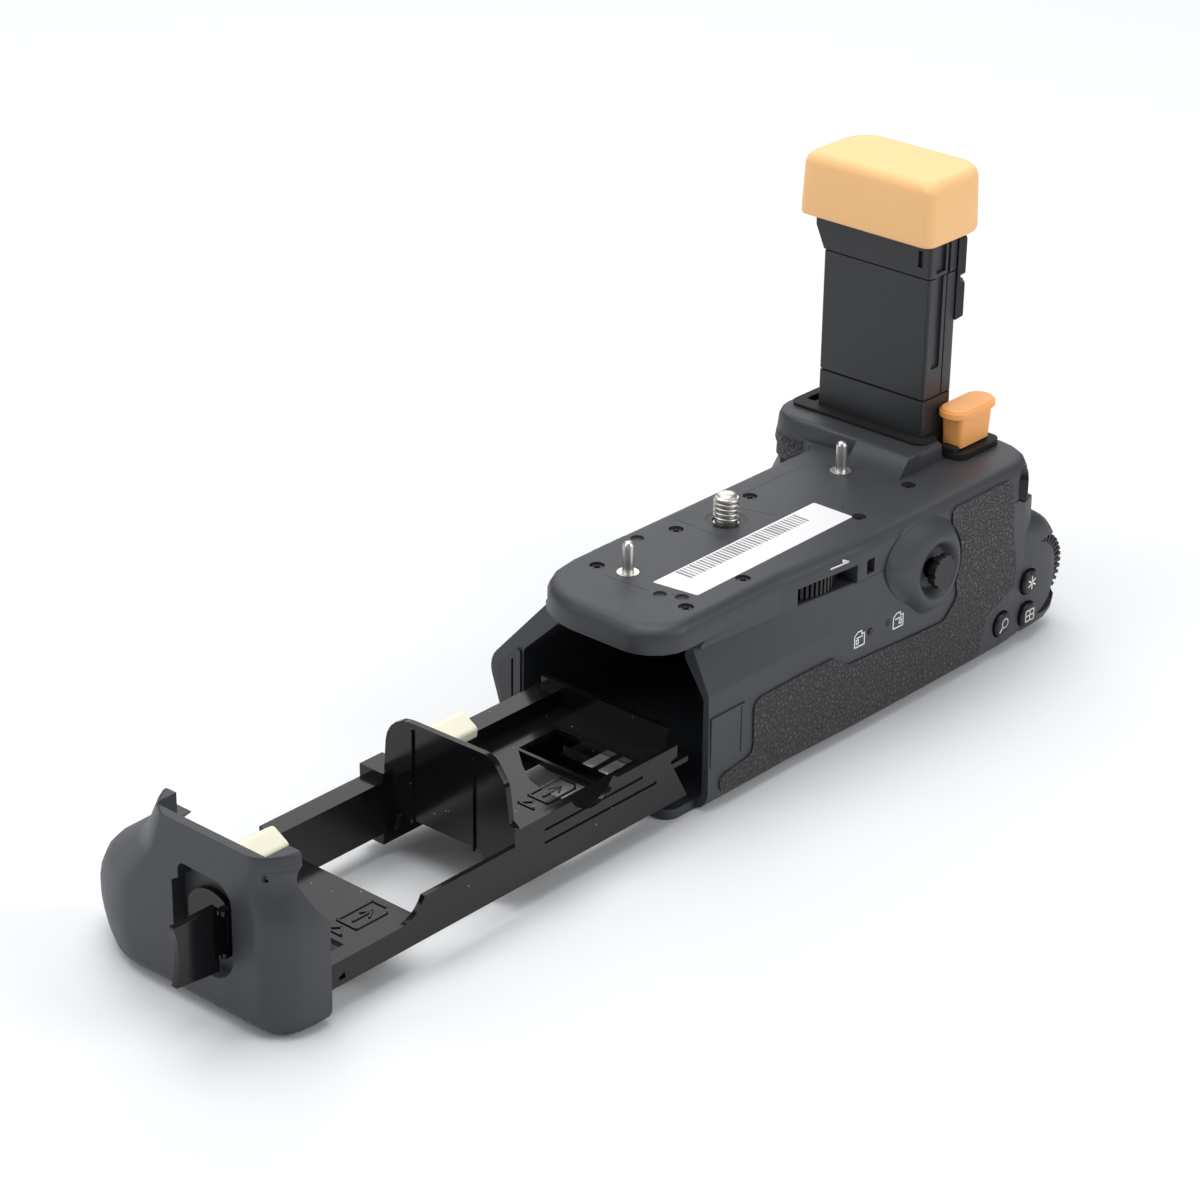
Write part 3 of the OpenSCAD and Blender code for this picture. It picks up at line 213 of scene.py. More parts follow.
charcoal = sprayed("charcoal housing", (0.037, 0.040, 0.0465), 0.47, grain=0.32 * MM, depth=0.034 * MM)
satin_black = sprayed("satin column", (0.0192, 0.0205, 0.024), 0.40, grain=0.2 * MM, depth=0.008 * MM)
cream = sprayed("cream latch", (0.80, 0.77, 0.61), 0.42, grain=0.6 * MM, depth=0.006 * MM)
print("sprayed:", [made.name for made in (charcoal, satin_black, cream)])

# %% [markdown]
# The rubber skins are pressed with a leather grain: small rounded pebbles with creases between them.
# Modelled pebbles would need far too many faces, so a Voronoi pattern gives them as a bump. Noise pushes
# its coordinates about, so that no cell looks straight. The same pattern paints shade into the creases.

# %% Grained rubber
PUSHES_PER_M = 900.0


def grained(name, colour, pebble, depth, sway):
    """Rubber with pebbles of a given width, whose cells are pushed about by up to sway."""
    made = Finish(name, IOR=1.5, Specular_IOR_Level=0.55)
    waves = {"Vector": made.place, "Scale": PUSHES_PER_M, "Detail": 2.0}
    push = made.node("ShaderNodeTexNoise", {}, waves).out("Color")
    pushed = made.node("ShaderNodeVectorMath", {"operation": "MULTIPLY_ADD"},
                       {0: push, 1: (sway, sway, sway), 2: made.place}).out()
    crease = made.cells(pebble, "DISTANCE_TO_EDGE", pushed)
    domed = made.ramp(crease, (0.0, 0.0), (0.16, 0.62), (0.5, 1.0))
    fine = made.noise(0.25 * MM, detail=2.0)
    # Painted shade: the creases get a darker colour than the pebbles' tops, which then read as lit.
    base = made.mixed([c * 0.55 for c in colour], colour, domed)
    height = domed + fine * 0.12
    return made.set(Base_Color=base, Roughness=made.between(0.62, 0.38, domed), Normal=made.bump(height, depth))


leather_rubber = grained("grained rubber", (0.050, 0.050, 0.053), pebble=1.25 * MM, depth=0.5 * MM, sway=1.1 * MM)
print("grained:", [made.name for made in (leather_rubber,)])

# %% [markdown]
# The tray, its handle and the controls are bare black plastic from a polished mould, so they mirror the
# lamps. One even gloss would pass for glass. Wipe marks vary it here, and a few specks of dust lie where
# a broad noise is high.

# %% Polished black plastic
DUST = (0.45, 0.45, 0.44)


def polished(name, colour, rough, dust):
    """Plastic that mirrors the room, with faint wipe marks and some dust."""
    made = Finish(name, IOR=1.5, Specular_IOR_Level=0.31)
    wiped = made.noise(6 * MM, detail=4.0, rough=0.7, place=made.stretched(0.3, 1.0, 1.0))
    orange_peel = made.noise(4 * MM, detail=1.0)
    speck = 1.0 - made.cells(3.2 * MM).above(0.055)
    patchy = made.noise(20 * MM, detail=2.0).above(0.52)
    dusty = speck * patchy * dust
    gloss = made.between(rough - 0.04, rough + 0.1, wiped) + dusty * 0.5
    return made.set(Base_Color=made.mixed(colour, DUST, dusty), Roughness=gloss,
                    Normal=made.bump(orange_peel, 0.01 * MM))


tray_black = polished("polished tray", (0.006, 0.006, 0.007), 0.11, dust=0.8)
control_black = polished("control black", (0.012, 0.012, 0.013), 0.30, dust=0.2)
print("polished:", [made.name for made in (tray_black, control_black)])

# %% [markdown]
# The two seals at the feet of the column and the connector are a soft black rubber. A plain dark colour
# would do from afar, but a pale bloom comes out of such rubber in clouds. The bloom also makes it duller,
# so one noise drives both.


# %% Soft rubber for the seals
def soft_rubber(name, colour, rough):
    """Smooth rubber with a cloudy bloom."""
    made = Finish(name, IOR=1.45, Specular_IOR_Level=0.35)
    bloom = made.noise(4 * MM, detail=4.0, rough=0.6)
    fine = made.noise(0.4 * MM, detail=2.0)
    base = made.mixed([c * 0.8 for c in colour], [c * 1.25 for c in colour], bloom)
    return made.set(Base_Color=base, Roughness=made.between(rough - 0.08, rough + 0.12, bloom),
                    Normal=made.bump(fine, 0.012 * MM))


seal_rubber = soft_rubber("seal rubber", (0.014, 0.014, 0.015), 0.62)
print("seals:", [made.name for made in (seal_rubber,)])

# %% [markdown]
# The orange covers are a soft plastic with a faint inner glow. Transmission would make them clear, so a
# little subsurface light gives the glow, and a broad noise varies the colour a little, as moulding does.


# %% Orange covers
def soft_orange(name, colour, deep, rough):
    """Soft plastic that lets a little light in, clouded between two close colours."""
    made = Finish(name, IOR=1.46, Subsurface_Weight=0.12, Subsurface_Scale=2 * MM, Specular_IOR_Level=0.4)
    cloudy = made.noise(20 * MM, detail=3.0)
    fine = made.noise(0.35 * MM, detail=3.0)
    marks = made.noise(1.2 * MM, detail=5.0, rough=0.7, place=made.stretched(1.0, 1.0, 0.25))
    base = made.mixed(deep, colour, cloudy * 0.7 + fine * 0.3)
    return made.set(Base_Color=base, Roughness=made.between(rough - 0.06, rough + 0.1, marks),
                    Normal=made.bump(fine + marks * 0.5, 0.01 * MM))


pale_orange = soft_orange("pale orange cover", (0.96, 0.575, 0.265), (0.93, 0.54, 0.235), 0.50)
deep_orange = soft_orange("deep orange cover", (1.0, 0.455, 0.15), (0.98, 0.42, 0.125), 0.44)
print("covers:", [made.name for made in (pale_orange, deep_orange)])

# %% [markdown]
# The pins, the screw, the springs and the sprung contacts are nickel plated. Marks painted in its colour
# would look like dirt, because a metal's colour sits in its reflection. The pattern mostly changes the
# roughness instead, with fine turning marks and a few dull patches.


# %% Plated metal
def plated(name, colour, rough, along):
    """Bright metal, with its turning marks stretched along an axis."""
    made = Finish(name, Metallic=1.0)
    marks = made.noise(0.12 * MM, detail=2.0, place=made.stretched(*along))
    dull = made.noise(1.5 * MM, detail=4.0, rough=0.7)
    base = made.mixed([c * 0.82 for c in colour], colour, made.between(0.4, 1.0, dull))
    gloss = made.between(rough - 0.05, rough + 0.16, marks * 0.4 + dull * 0.6)
    return made.set(Base_Color=base, Roughness=gloss, Normal=made.bump(marks, 0.0006 * MM))


nickel = plated("bright nickel", (0.86, 0.84, 0.81), 0.33, along=(0.2, 0.2, 1.0))
print("metal:", [made.name for made in (nickel,)])

# %% [markdown]
# The circuit board is a woven laminate, with tracks that show as paler green under its varnish. The
# label and the prints are thin films with a faint fibre, so that they aren't as dead as plain white.


# %% Board, label and print
def laminate(name, ground, track):
    """Woven board with tracks under varnish."""
    made = Finish(name, IOR=1.5)
    weave = made.cells(0.6 * MM)
    tracks = made.noise(1.8 * MM, detail=1.0).above(0.55)
    return made.set(Base_Color=made.mixed(ground, track, tracks), Roughness=made.between(0.3, 0.45, weave),
                    Normal=made.bump(weave, 0.01 * MM))


def printed_film(name, colour, rough):
    """A thin film of paint or plastic with a faint fibre."""
    made = Finish(name, IOR=1.46)
    fibre = made.noise(0.3 * MM, detail=3.0)
    cloudy = made.noise(9 * MM, detail=3.0)
    base = made.mixed([c * 0.95 for c in colour], colour, cloudy)
    return made.set(Base_Color=base, Roughness=made.between(rough, rough + 0.12, fibre),
                    Normal=made.bump(fibre, 0.003 * MM))


board_green = laminate("green laminate", (0.008, 0.075, 0.028), (0.02, 0.16, 0.06))
label_film = printed_film("white label", (0.745, 0.745, 0.755), 0.38)
white_print = printed_film("white print", (0.80, 0.80, 0.80), 0.5)
grey_print = printed_film("grey bars", (0.22, 0.22, 0.23), 0.5)
seam_grey = printed_film("shaded seam", (0.012, 0.012, 0.013), 0.7)
print("films:", [made.name for made in (board_green, label_film, white_print, grey_print, seam_grey)])

# %% [markdown]
# ## Rounded mouldings
# The solids have perfectly sharp edges, and no moulding has. A Bevel modifier on the solid's loose
# triangles would round nothing, so a copy of each one is welded first, its flat faces are joined again,
# and then its sharp edges get a small round. Faces that meet at a shallow angle are shaded smooth. The
# copy then stands for the solid, which stays in the frame.


# %% Body and slot of a node
def body_of(node):
    """The moving body that carries a node, from the frame's own record."""
    for body, names in frame["record"]["behaviour"]["bodies"].items():
        if node in names:
            return body


def slot_of(node):
    """The material slot that the record gives a node."""
    for entry in frame["record"]["subparts"]:
        if entry["node"] == node:
            return entry["material_slot"]


def settle(piece, body, slot, *replaced):
    """Puts a piece on its body, and in place of the solids that it stands for. The slot is not used."""
    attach(piece, body)
    if replaced:
        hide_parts(*replaced)


# %% Shade a finished mesh
SHARP = math.radians(32)


def by_area(piece):
    """Turns the shading normals towards the large faces, so that a flat wall looks flat up to its round."""
    modifier = piece.modifiers.new("by area", "WEIGHTED_NORMAL")
    modifier.keep_sharp = True
    seen = piece.evaluated_get(bpy.context.evaluated_depsgraph_get())
    mesh = bpy.data.meshes.new_from_object(seen, preserve_all_data_layers=True,
                                           depsgraph=bpy.context.evaluated_depsgraph_get())
    piece.modifiers.remove(modifier)
    mesh.name = piece.name
    piece.data = mesh
    return piece


def finished(name, bm, material, sharp=SHARP):
    """Turns a bmesh into an object that is smooth but for its sharp edges."""
    mesh = bpy.data.meshes.new(name)
    bm.to_mesh(mesh)
    bm.free()
    mesh.materials.append(material)
    mesh.polygons.foreach_set("use_smooth", [True] * len(mesh.polygons))
    mesh.set_sharp_from_angle(angle=sharp)
    piece = bpy.data.objects.new(name, mesh)
    scene.collection.objects.link(piece)
    return by_area(piece)


# %% Weld and round a copy of a solid
FLAT = math.radians(0.06)
WELD = 0.002 * MM


def welded(node, mend=None):
    """A bmesh of the solid with its loose triangles joined into whole faces."""
    bm = bmesh.new()
    bm.from_mesh(frame["nodes"][node].data)
    bmesh.ops.remove_doubles(bm, verts=bm.verts, dist=WELD)
    if mend:
        mend(bm)
    bmesh.ops.dissolve_limit(bm, angle_limit=FLAT, verts=bm.verts, edges=bm.edges)
    return bm


def rounded(node, material, edge, from_angle=SHARP, mend=None):
    """Stands a softened copy in for a solid. A mend changes the bare bmesh first."""
    bm = welded(node, mend)
    if edge:
        sharp = [e for e in bm.edges if len(e.link_faces) == 2 and e.calc_face_angle() > from_angle]
        bmesh.ops.bevel(bm, geom=sharp, offset=edge * MM, offset_type="OFFSET", segments=2, profile=0.5,
                        affect="EDGES", clamp_overlap=True)
    settle(finished(node + "_moulding", bm, material), body_of(node), slot_of(node), node)


# %% [markdown]
# The magazine's cap needs two mends before its edges are rounded. The triangles on its flat outer end lie
# over each other, which shades as a dark wedge. They could be sorted out one by one, but it is surer to
# fill that end again from its rim. At one corner the latch's window comes through the round of the cap and
# leaves a narrow slit, which gets a small skin.

# %% Mend the cap
# The slit lies in a box between two corners, in millimetres.
ON_THE_END = 0.02 * MM
SLIT = (-182.95, -27.65, 37.35), (-181.85, -26.75, 40.35)
SQUARED = 0.995


def flat_end_anew(bm):
    """Fills the flat end at the lowest x again, where the solid's own triangles lie over each other."""
    end = min(v.co.x for v in bm.verts)
    old = [f for f in bm.faces if all(v.co.x - end < ON_THE_END for v in f.verts)]
    bmesh.ops.delete(bm, geom=old, context="FACES")
    rim = [e for e in bm.edges if e.is_boundary]
    bmesh.ops.triangle_fill(bm, edges=rim, use_beauty=True, normal=(-1, 0, 0))
    corner_closed(bm)


def corner_closed(bm):
    """Closes a slit where the latch window's inner corner comes through the cap's round corner."""
    low, high = (Vector(corner) * MM for corner in SLIT)

    def near(vert):
        return all(least < value < most for least, value, most in zip(low, vert.co, high))

    def squared(face):
        return max(abs(part) for part in face.normal) > SQUARED

    rim = [e for e in bm.edges if len(e.link_faces) == 2 and near(e.verts[0]) and near(e.verts[1])
           and squared(e.link_faces[0]) != squared(e.link_faces[1])]
    filled = bmesh.ops.triangle_fill(bm, edges=rim, use_beauty=True, normal=(-0.7, -0.7, -0.1))
    print("faces that close the slit:", sum(isinstance(part, bmesh.types.BMFace) for part in filled["geom"]))


# %% Dress the mouldings
# Each node has its finish, and the width of its round in millimetres.
LOFTED = ("main_casing", "top_cover", "magazine_cap", "big_cover")
LOFT_EDGE = math.radians(52)
MENDS = {"magazine_cap": flat_end_anew}
mouldings = {
    "main_casing": (charcoal, 0.35), "top_cover": (charcoal, 0.35), "side_panel": (charcoal, 0.12),
    "magazine_cap": (charcoal, 0.3), "rear_skin": (leather_rubber, 0.15), "front_skin": (leather_rubber, 0.15),
    "mouth_frame": (satin_black, 0.15), "column_sleeve": (satin_black, 0.25), "column_shell": (satin_black, 0.2),
    "column_head": (satin_black, 0.2), "column_catch": (satin_black, 0.25), "tower_gasket": (seal_rubber, 0.25),
    "connector_gasket": (seal_rubber, 0.3), "tray_frame": (tray_black, 0.2), "handle_base": (tray_black, 0.15),
    "release_handle": (tray_black, 0.25), "outer_latch": (cream, 0.3), "inner_latch": (cream, 0.3),
    "big_cover": (pale_orange, 0.3), "small_cover": (deep_orange, 0.3), "thumb_wheel": (control_black, 0.1),
    "star_button": (control_black, 0.2), "grid_button": (control_black, 0.2), "zoom_button": (control_black, 0.2),
    "focus_button": (control_black, 0.3), "shutter_button": (control_black, 0.3),
    "control_dial": (control_black, 0.12), "lock_switch": (control_black, 0.25),
    "joystick_cap": (control_black, 0.2), "joystick_stem": (control_black, 0.1),
    "charge_lights": (control_black, 0.1), "cover_screws": (control_black, 0.08), "guide_pins": (nickel, 0.1),
    "tripod_socket": (nickel, 0.15), "screw_bush": (control_black, 0.1), "wheel_axle": (nickel, 0.1),
    "dial_axle": (nickel, 0.1), "latch_pins": (nickel, 0.1), "release_claw": (nickel, 0.15),
    "joystick_gimbal": (nickel, 0.1), "joystick_yoke": (nickel, 0.1), "latch_springs": (nickel, 0.0),
    "bay_contacts": (nickel, 0.05), "chamber_contacts": (control_black, 0.1), "terminal_block": (control_black, 0.1),
    "camera_connector": (control_black, 0.1), "circuit_board": (board_green, 0.0), "label_plate": (label_film, 0.0),
}
for node, (material, edge) in mouldings.items():
    rounded(node, material, edge, LOFT_EDGE if node in LOFTED else SHARP, MENDS.get(node))
print("mouldings:", len(mouldings))

# %% [markdown]
# ## The joystick's well
# The joystick stands in a moulded crater whose flank runs out into a wing on the left. The solid has
# the well's outline, height and bore in plain facets. A sculpted mesh could follow the photograph more
# freely, but a rule keeps the form even: the well is laid in rings, from its back over the flank and the
# round lip into the bowl, and each ring of the flank is a share of the way from the outline to the lip.


# %% A solid laid in rings
def ringed(name, rings, material, sharp=SHARP):
    """A closed solid through rings of as many points each, with a flat face on the first and the last."""
    bm = bmesh.new()
    rows = [[bm.verts.new(point) for point in ring] for ring in rings]
    for first, second in zip(rows, rows[1:]):
        for k in range(len(first)):
            bm.faces.new((first[k - 1], first[k], second[k], second[k - 1]))
    bm.faces.new(rows[0])
    bm.faces.new(rows[-1])
    bmesh.ops.recalc_face_normals(bm, faces=bm.faces)
    return finished(name, bm, material, sharp)


# %% The well's outline
# Angles are in degrees from straight up, and lengths in millimetres from the stick.
STICK_X, STICK_Z = 40.0, 36.8
WELL_STEPS = 96
OUTLINE = ((0, 13.4), (60, 12), (90, 11.4), (130, 12), (183, 12.9), (221, 10.8), (243, 12), (270, 16.4),
           (288, 20.4), (302, 19.6), (321, 17.6), (347, 14.4), (360, 13.4))


def reach_at(angle):
    """How far the well reaches from the stick at an angle."""
    for (low, near), (high, far) in zip(OUTLINE, OUTLINE[1:]):
        if low <= angle <= high:
            return near + (far - near) * (angle - low) / (high - low)


def softened(values, passes):
    """Averages each value of a closed row with its two neighbours."""
    for _ in range(passes):
        values = [(values[i - 1] + 2 * value + values[(i + 1) % len(values)]) / 4
                  for i, value in enumerate(values)]
    return values


well_angles = [k * 360 / WELL_STEPS for k in range(WELL_STEPS)]
well_reach = softened([reach_at(angle) for angle in well_angles], 5)
print("well reaches, mm:", round(min(well_reach), 1), "to", round(max(well_reach), 1))

# %% The well's section
# The flank is (share of the way to the lip, depth below the lip), and the bowl is (radius, depth).
LIP_R, BORE_R, STEM_BORE_R, NECK_R = 8.3, 6.2, 2.7, 7.35
FOOT, FLOOR_T = 4.2, 1.2
FLANK = ((0, FOOT), (0, 3.0), (0.07, 2.78), (0.18, 2.28), (0.34, 1.5), (0.52, 0.8), (0.7, 0.32), (0.86, 0.07),
         (1, 0))
BOWL = ((8.0, 0.02), (7.7, 0.12), (7.4, 0.32), (7.1, 0.6), (6.7, 1.05), (6.25, 1.6), (5.9, 2.15), (5.5, 2.6),
        (5.0, 2.82), (STEM_BORE_R, 2.85), (STEM_BORE_R, 3.3), (BORE_R, 3.3))
WING_AT, WING_SPREAD, WING_RISE = 285, 11, 0.5
HOLLOW_AT, HOLLOW_SPREAD, HOLLOW_FALL = 249, 15, 0.45


def hump(angle, middle, spread):
    """A smooth hump of height 1 about an angle."""
    return math.exp(-((angle - middle) / spread) ** 2)


def keenness(angle):
    """How the flank falls: below 1 it stays high further out, as on the wing, and above 1 it falls early."""
    return 1 - WING_RISE * hump(angle, WING_AT, WING_SPREAD) + HOLLOW_FALL * hump(angle, HOLLOW_AT, HOLLOW_SPREAD)


def flank_ring(share):
    """The radius at each angle for one share of the way from the outline to the lip."""
    return [far + (LIP_R - far) * share ** (1 / keenness(angle)) for angle, far in zip(well_angles, well_reach)]


# %% Joystick well
well_y = [v.co.y / MM for v in frame["nodes"]["joystick_boss"].data.vertices]
lip_y, well_depth = min(well_y), max(well_y) - min(well_y)


def well_ring(radii, depth):
    """The points of one ring, at a depth below the lip."""
    return [Vector((STICK_X + radius * math.sin(math.radians(angle)), lip_y + depth,
                    STICK_Z + radius * math.cos(math.radians(angle)))) * MM
            for angle, radius in zip(well_angles, radii)]


well_rings = [([NECK_R] * WELL_STEPS, well_depth), ([NECK_R] * WELL_STEPS, FOOT)]
well_rings += [(flank_ring(share), depth) for share, depth in FLANK]
well_rings += [([radius] * WELL_STEPS, depth) for radius, depth in BOWL + ((BORE_R, well_depth - FLOOR_T),)]
joystick_well = ringed("joystick_boss_moulding", [well_ring(*ring) for ring in well_rings], charcoal, LOFT_EDGE)
settle(joystick_well, body_of("joystick_boss"), slot_of("joystick_boss"), "joystick_boss")
print("joystick well: rings", len(well_rings), "depth, mm:", round(well_depth, 2))

# %% [markdown]
# ## The camera screw
# The screw that holds the camera has a rolled thread, which is a ridge swept along a helix. A Screw
# modifier could turn it too. Geometry Nodes make it here, from a Spiral curve, so that the pitch, turns
# and radius stay as inputs. The shank inside it is turned from a profile, with a domed tip.


# %% Geometry Nodes helpers
class Nodes:
    """A Geometry Nodes tree under construction, with named inputs."""

    def __init__(self, name, **inputs):
        self.tree = bpy.data.node_groups.new(name, "GeometryNodeTree")
        self.tree.interface.new_socket("Geometry", in_out="INPUT", socket_type="NodeSocketGeometry")
        for label, value in inputs.items():
            kind = "NodeSocketInt" if isinstance(value, int) else "NodeSocketFloat"
            self.tree.interface.new_socket(label, in_out="INPUT", socket_type=kind)
        self.tree.interface.new_socket("Geometry", in_out="OUTPUT", socket_type="NodeSocketGeometry")
        self.given = self.tree.nodes.new("NodeGroupInput")
        self.values = inputs

    def input(self, label):
        return self.given.outputs[label]

    def add(self, kind, settings=None, **links):
        """Adds a node. Links name its sockets, or number them, as n0, where two have the same name."""
        made = self.tree.nodes.new(kind)
        for key, value in (settings or {}).items():
            setattr(made, key, value)
        for key, value in links.items():
            numbered = key[0] == "n" and key[1:].isdigit()
            socket = made.inputs[int(key[1:]) if numbered else key.replace("_", " ")]
            if isinstance(value, bpy.types.NodeSocket):
                self.tree.links.new(value, socket)
            else:
                socket.default_value = value
        return made.outputs

    def bake(self, name, geometry, material):
        """Realizes the result, gives it its material and returns it as a plain object."""
        real = self.add("GeometryNodeRealizeInstances", n0=geometry)[0]
        painted = self.add("GeometryNodeSetMaterial", Geometry=real, Material=material)[0]
        out = self.tree.nodes.new("NodeGroupOutput")
        self.tree.links.new(painted, out.inputs[0])
        carrier = bpy.data.objects.new(name + " carrier", bpy.data.meshes.new(name + " seed"))
        scene.collection.objects.link(carrier)
        modifier = carrier.modifiers.new("made", "NODES")
        modifier.node_group = self.tree
        for item in self.tree.interface.items_tree:
            if item.item_type == "SOCKET" and item.in_out == "INPUT" and item.name in self.values:
                modifier[item.identifier] = self.values[item.name]
        seen = carrier.evaluated_get(bpy.context.evaluated_depsgraph_get())
        mesh = bpy.data.meshes.new_from_object(seen)
        carrier.modifiers.remove(modifier)
        bpy.data.objects.remove(carrier)
        mesh.name = name
        piece = bpy.data.objects.new(name, mesh)
        scene.collection.objects.link(piece)
        print(name, "faces:", len(mesh.polygons))
        return piece


# %% Thread
SCREW_R = 3.175 * MM
THREAD_PITCH = 1.27 * MM
THREAD_DEPTH = 0.62 * MM
THREAD_FROM = 53.1 * MM
THREAD_TURNS = 4.6
THREAD_MIDDLE = SCREW_R - THREAD_DEPTH * 0.5
RIDGE_SQUASH = (0.82, 0.72, 1.0)

thread = Nodes("screw thread", Pitch=THREAD_PITCH, Turns=THREAD_TURNS, Radius=THREAD_MIDDLE, Depth=THREAD_DEPTH)
height = thread.add("ShaderNodeMath", {"operation": "MULTIPLY"}, n0=thread.input("Pitch"),
                    n1=thread.input("Turns"))[0]
helix = thread.add("GeometryNodeCurveSpiral", Resolution=40, Rotations=thread.input("Turns"), Height=height,
                   Start_Radius=thread.input("Radius"), End_Radius=thread.input("Radius"))[0]
ridge = thread.add("GeometryNodeCurvePrimitiveCircle", {"mode": "RADIUS"}, Resolution=8,
                   Radius=thread.input("Depth"))[0]
flat_ridge = thread.add("GeometryNodeTransform", Geometry=ridge, Scale=RIDGE_SQUASH)[0]
swept = thread.add("GeometryNodeCurveToMesh", Curve=helix, Profile_Curve=flat_ridge, Fill_Caps=True)[0]
smooth = thread.add("GeometryNodeSetShadeSmooth", Geometry=swept)[0]
screw_thread = thread.bake("screw_thread", smooth, nickel)
screw_thread.data.transform(Matrix.Translation((0, 0, THREAD_FROM)))


# %% Domed shank
def turned(name, profile, material, steps=64):
    """A solid turned from a profile of (radius, height) pairs about the Z axis."""
    turns = [math.tau * k / steps for k in range(steps)]
    return ringed(name, [[(radius * math.cos(t), radius * math.sin(t), z) for t in turns] for radius, z in profile],
                  material)


TOP_Z = 52.5
BELOW_PLATE = 0.5
FOOT_R = 2.9 * MM
CORE_R = SCREW_R - THREAD_DEPTH


def below_plate(bm):
    """Cuts the plain shank of the camera screw away above the plate."""
    level = (TOP_Z - BELOW_PLATE) * MM
    everything = bm.verts[:] + bm.edges[:] + bm.faces[:]
    bmesh.ops.bisect_plane(bm, geom=everything, plane_co=(0, 0, level), plane_no=(0, 0, 1), clear_outer=True)
    bmesh.ops.holes_fill(bm, edges=[e for e in bm.edges if e.is_boundary])


# The shank has a collar at its foot and a domed tip, given as shares of the core's radius.
foot = [(FOOT_R, 51.9 * MM), (FOOT_R, 52.9 * MM), (CORE_R, 53.3 * MM), (CORE_R, 58.9 * MM)]
tip = [(CORE_R * share, z * MM) for share, z in ((0.97, 59.3), (0.85, 59.62), (0.6, 59.82), (0.2, 59.9))]
screw_shank = turned("screw_shank", foot + tip, nickel)
rounded("tripod_screw", nickel, 0.1, mend=below_plate)
for piece in (screw_shank, screw_thread):
    settle(piece, "camera_screw", "steel")
print("shank: rings", len(foot + tip), "thread starts, mm:", round(THREAD_FROM / MM, 1))

# %% [markdown]
# ## The label's bars
# A label carries bars. These follow a plain rhythm and spell nothing. They could be drawn one by one,
# but they are one small box that Geometry Nodes repeat along a line, and a seeded random number gives
# each its width.

# %% Bars on the label
BAR_COUNT = 37
BAR_STEP = 1.24 * MM
BAR_LENGTH = 5.0 * MM
BAR_T = 0.03 * MM
NARROWEST, WIDEST = 0.34 * MM, 0.82 * MM
FIRST_BAR = (-31.0 * MM, -12.7 * MM, TOP_Z * MM)

bars = Nodes("label bars", Count=BAR_COUNT, Spacing=BAR_STEP, Seed=7)
step = bars.add("ShaderNodeCombineXYZ", X=bars.input("Spacing"))[0]
line = bars.add("GeometryNodeMeshLine", {"mode": "OFFSET"}, Count=bars.input("Count"), Offset=step)[0]
bar = bars.add("GeometryNodeMeshCube", Size=(1.0, BAR_LENGTH, BAR_T))[0]
width = bars.add("FunctionNodeRandomValue", {"data_type": "FLOAT"}, Seed=bars.input("Seed"), n2=NARROWEST,
                 n3=WIDEST)[1]
thickness = bars.add("ShaderNodeCombineXYZ", X=width, Y=1.0, Z=1.0)[0]
placed = bars.add("GeometryNodeInstanceOnPoints", Points=line, Instance=bar, Scale=thickness)[0]
label_bars = bars.bake("label_bars", placed, grey_print)
label_bars.data.transform(Matrix.Translation(FIRST_BAR))
settle(label_bars, "housing", "label_white")

# %% [markdown]
# ## Printed marks
# The marks on the housing and the buttons are thin white print: an arrow beside the wheel, a grip
# sign beside each charge light, and a star, a grid and a lens on the three round buttons.
# A picture could be laid over the housing, but a print is a shape, so each mark is drawn as strokes of
# one width on its own face, a few hundredths of a millimetre proud.

# %% Strokes of print
PRINT_T = 0.03 * MM
STROKE_END = 0.3


def strokes(name, lines, width, place, body, slot, material=white_print, thick=PRINT_T):
    """Draws straight strokes given in millimetres in a face's own right and up directions."""
    origin, across, upward = place
    origin, across, upward = Vector(origin) * MM, Vector(across).normalized(), Vector(upward).normalized()
    outward = across.cross(upward)
    bm = bmesh.new()
    for first, last in lines:
        a = Vector(first) * MM
        b = Vector(last) * MM
        along = (b - a).normalized()
        side = Vector((-along.y, along.x)) * width * MM / 2
        end = along * width * MM * STROKE_END
        corners = [a - end - side, b + end - side, b + end + side, a - end + side]
        layers = [[bm.verts.new(origin + across * c.x + upward * c.y + outward * lift) for c in corners]
                  for lift in (0, thick)]
        bm.faces.new(list(reversed(layers[0])))
        bm.faces.new(layers[1])
        for k in range(4):
            bm.faces.new((layers[0][k], layers[0][(k + 1) % 4], layers[1][(k + 1) % 4], layers[1][k]))
    bmesh.ops.recalc_face_normals(bm, faces=bm.faces)
    settle(finished(name, bm, material), body, slot)


def chain(*points, closed=False):
    """The strokes that join a row of points."""
    pairs = list(zip(points, points[1:]))
    return pairs + [(points[-1], points[0])] if closed else pairs


def ring_of(radius, steps, centre):
    """The points of a circle, for a chain of strokes."""
    return [(centre[0] + radius * math.cos(math.tau * k / steps), centre[1] + radius * math.sin(math.tau * k / steps))
            for k in range(steps + 1)]


# %% Marks on the rear wall
# The marks' places are millimetres along the grip and up from its base.
FAR_BEHIND = -200


def surface_of(node):
    """The surface of a solid, ready to be looked at along a line."""
    solid = frame["nodes"][node].data
    return BVHTree.FromPolygons([v.co for v in solid.vertices], [face.vertices for face in solid.polygons])


def rear_wall(node, x, z):
    """The spot of a solid that is seen from straight behind at x and z, with its own right and up."""
    spot, normal, _, _ = surface_of(node).ray_cast(Vector((x, FAR_BEHIND, z)) * MM, Vector((0, 1, 0)))
    across = Vector((1, 0, 0)) - normal * normal.x
    return spot / MM, across, normal.cross(across)


def grip_sign(second):
    """A small outline of a grip with one of its two batteries filled."""
    outline = chain((-1.9, -2.0), (1.9, -2.0), (1.9, 1.1), (0.8, 1.1), (0.8, 2.0), (-0.7, 2.0), (-1.9, 1.1),
                    closed=True)
    middle = 0.85 if second else -0.85
    cell = chain((middle - 0.4, -1.2), (middle + 0.4, -1.2), (middle + 0.4, -0.1), (middle - 0.4, -0.1), closed=True)
    return outline + cell + chain((-1.1, 0.45), (1.1, 0.45))


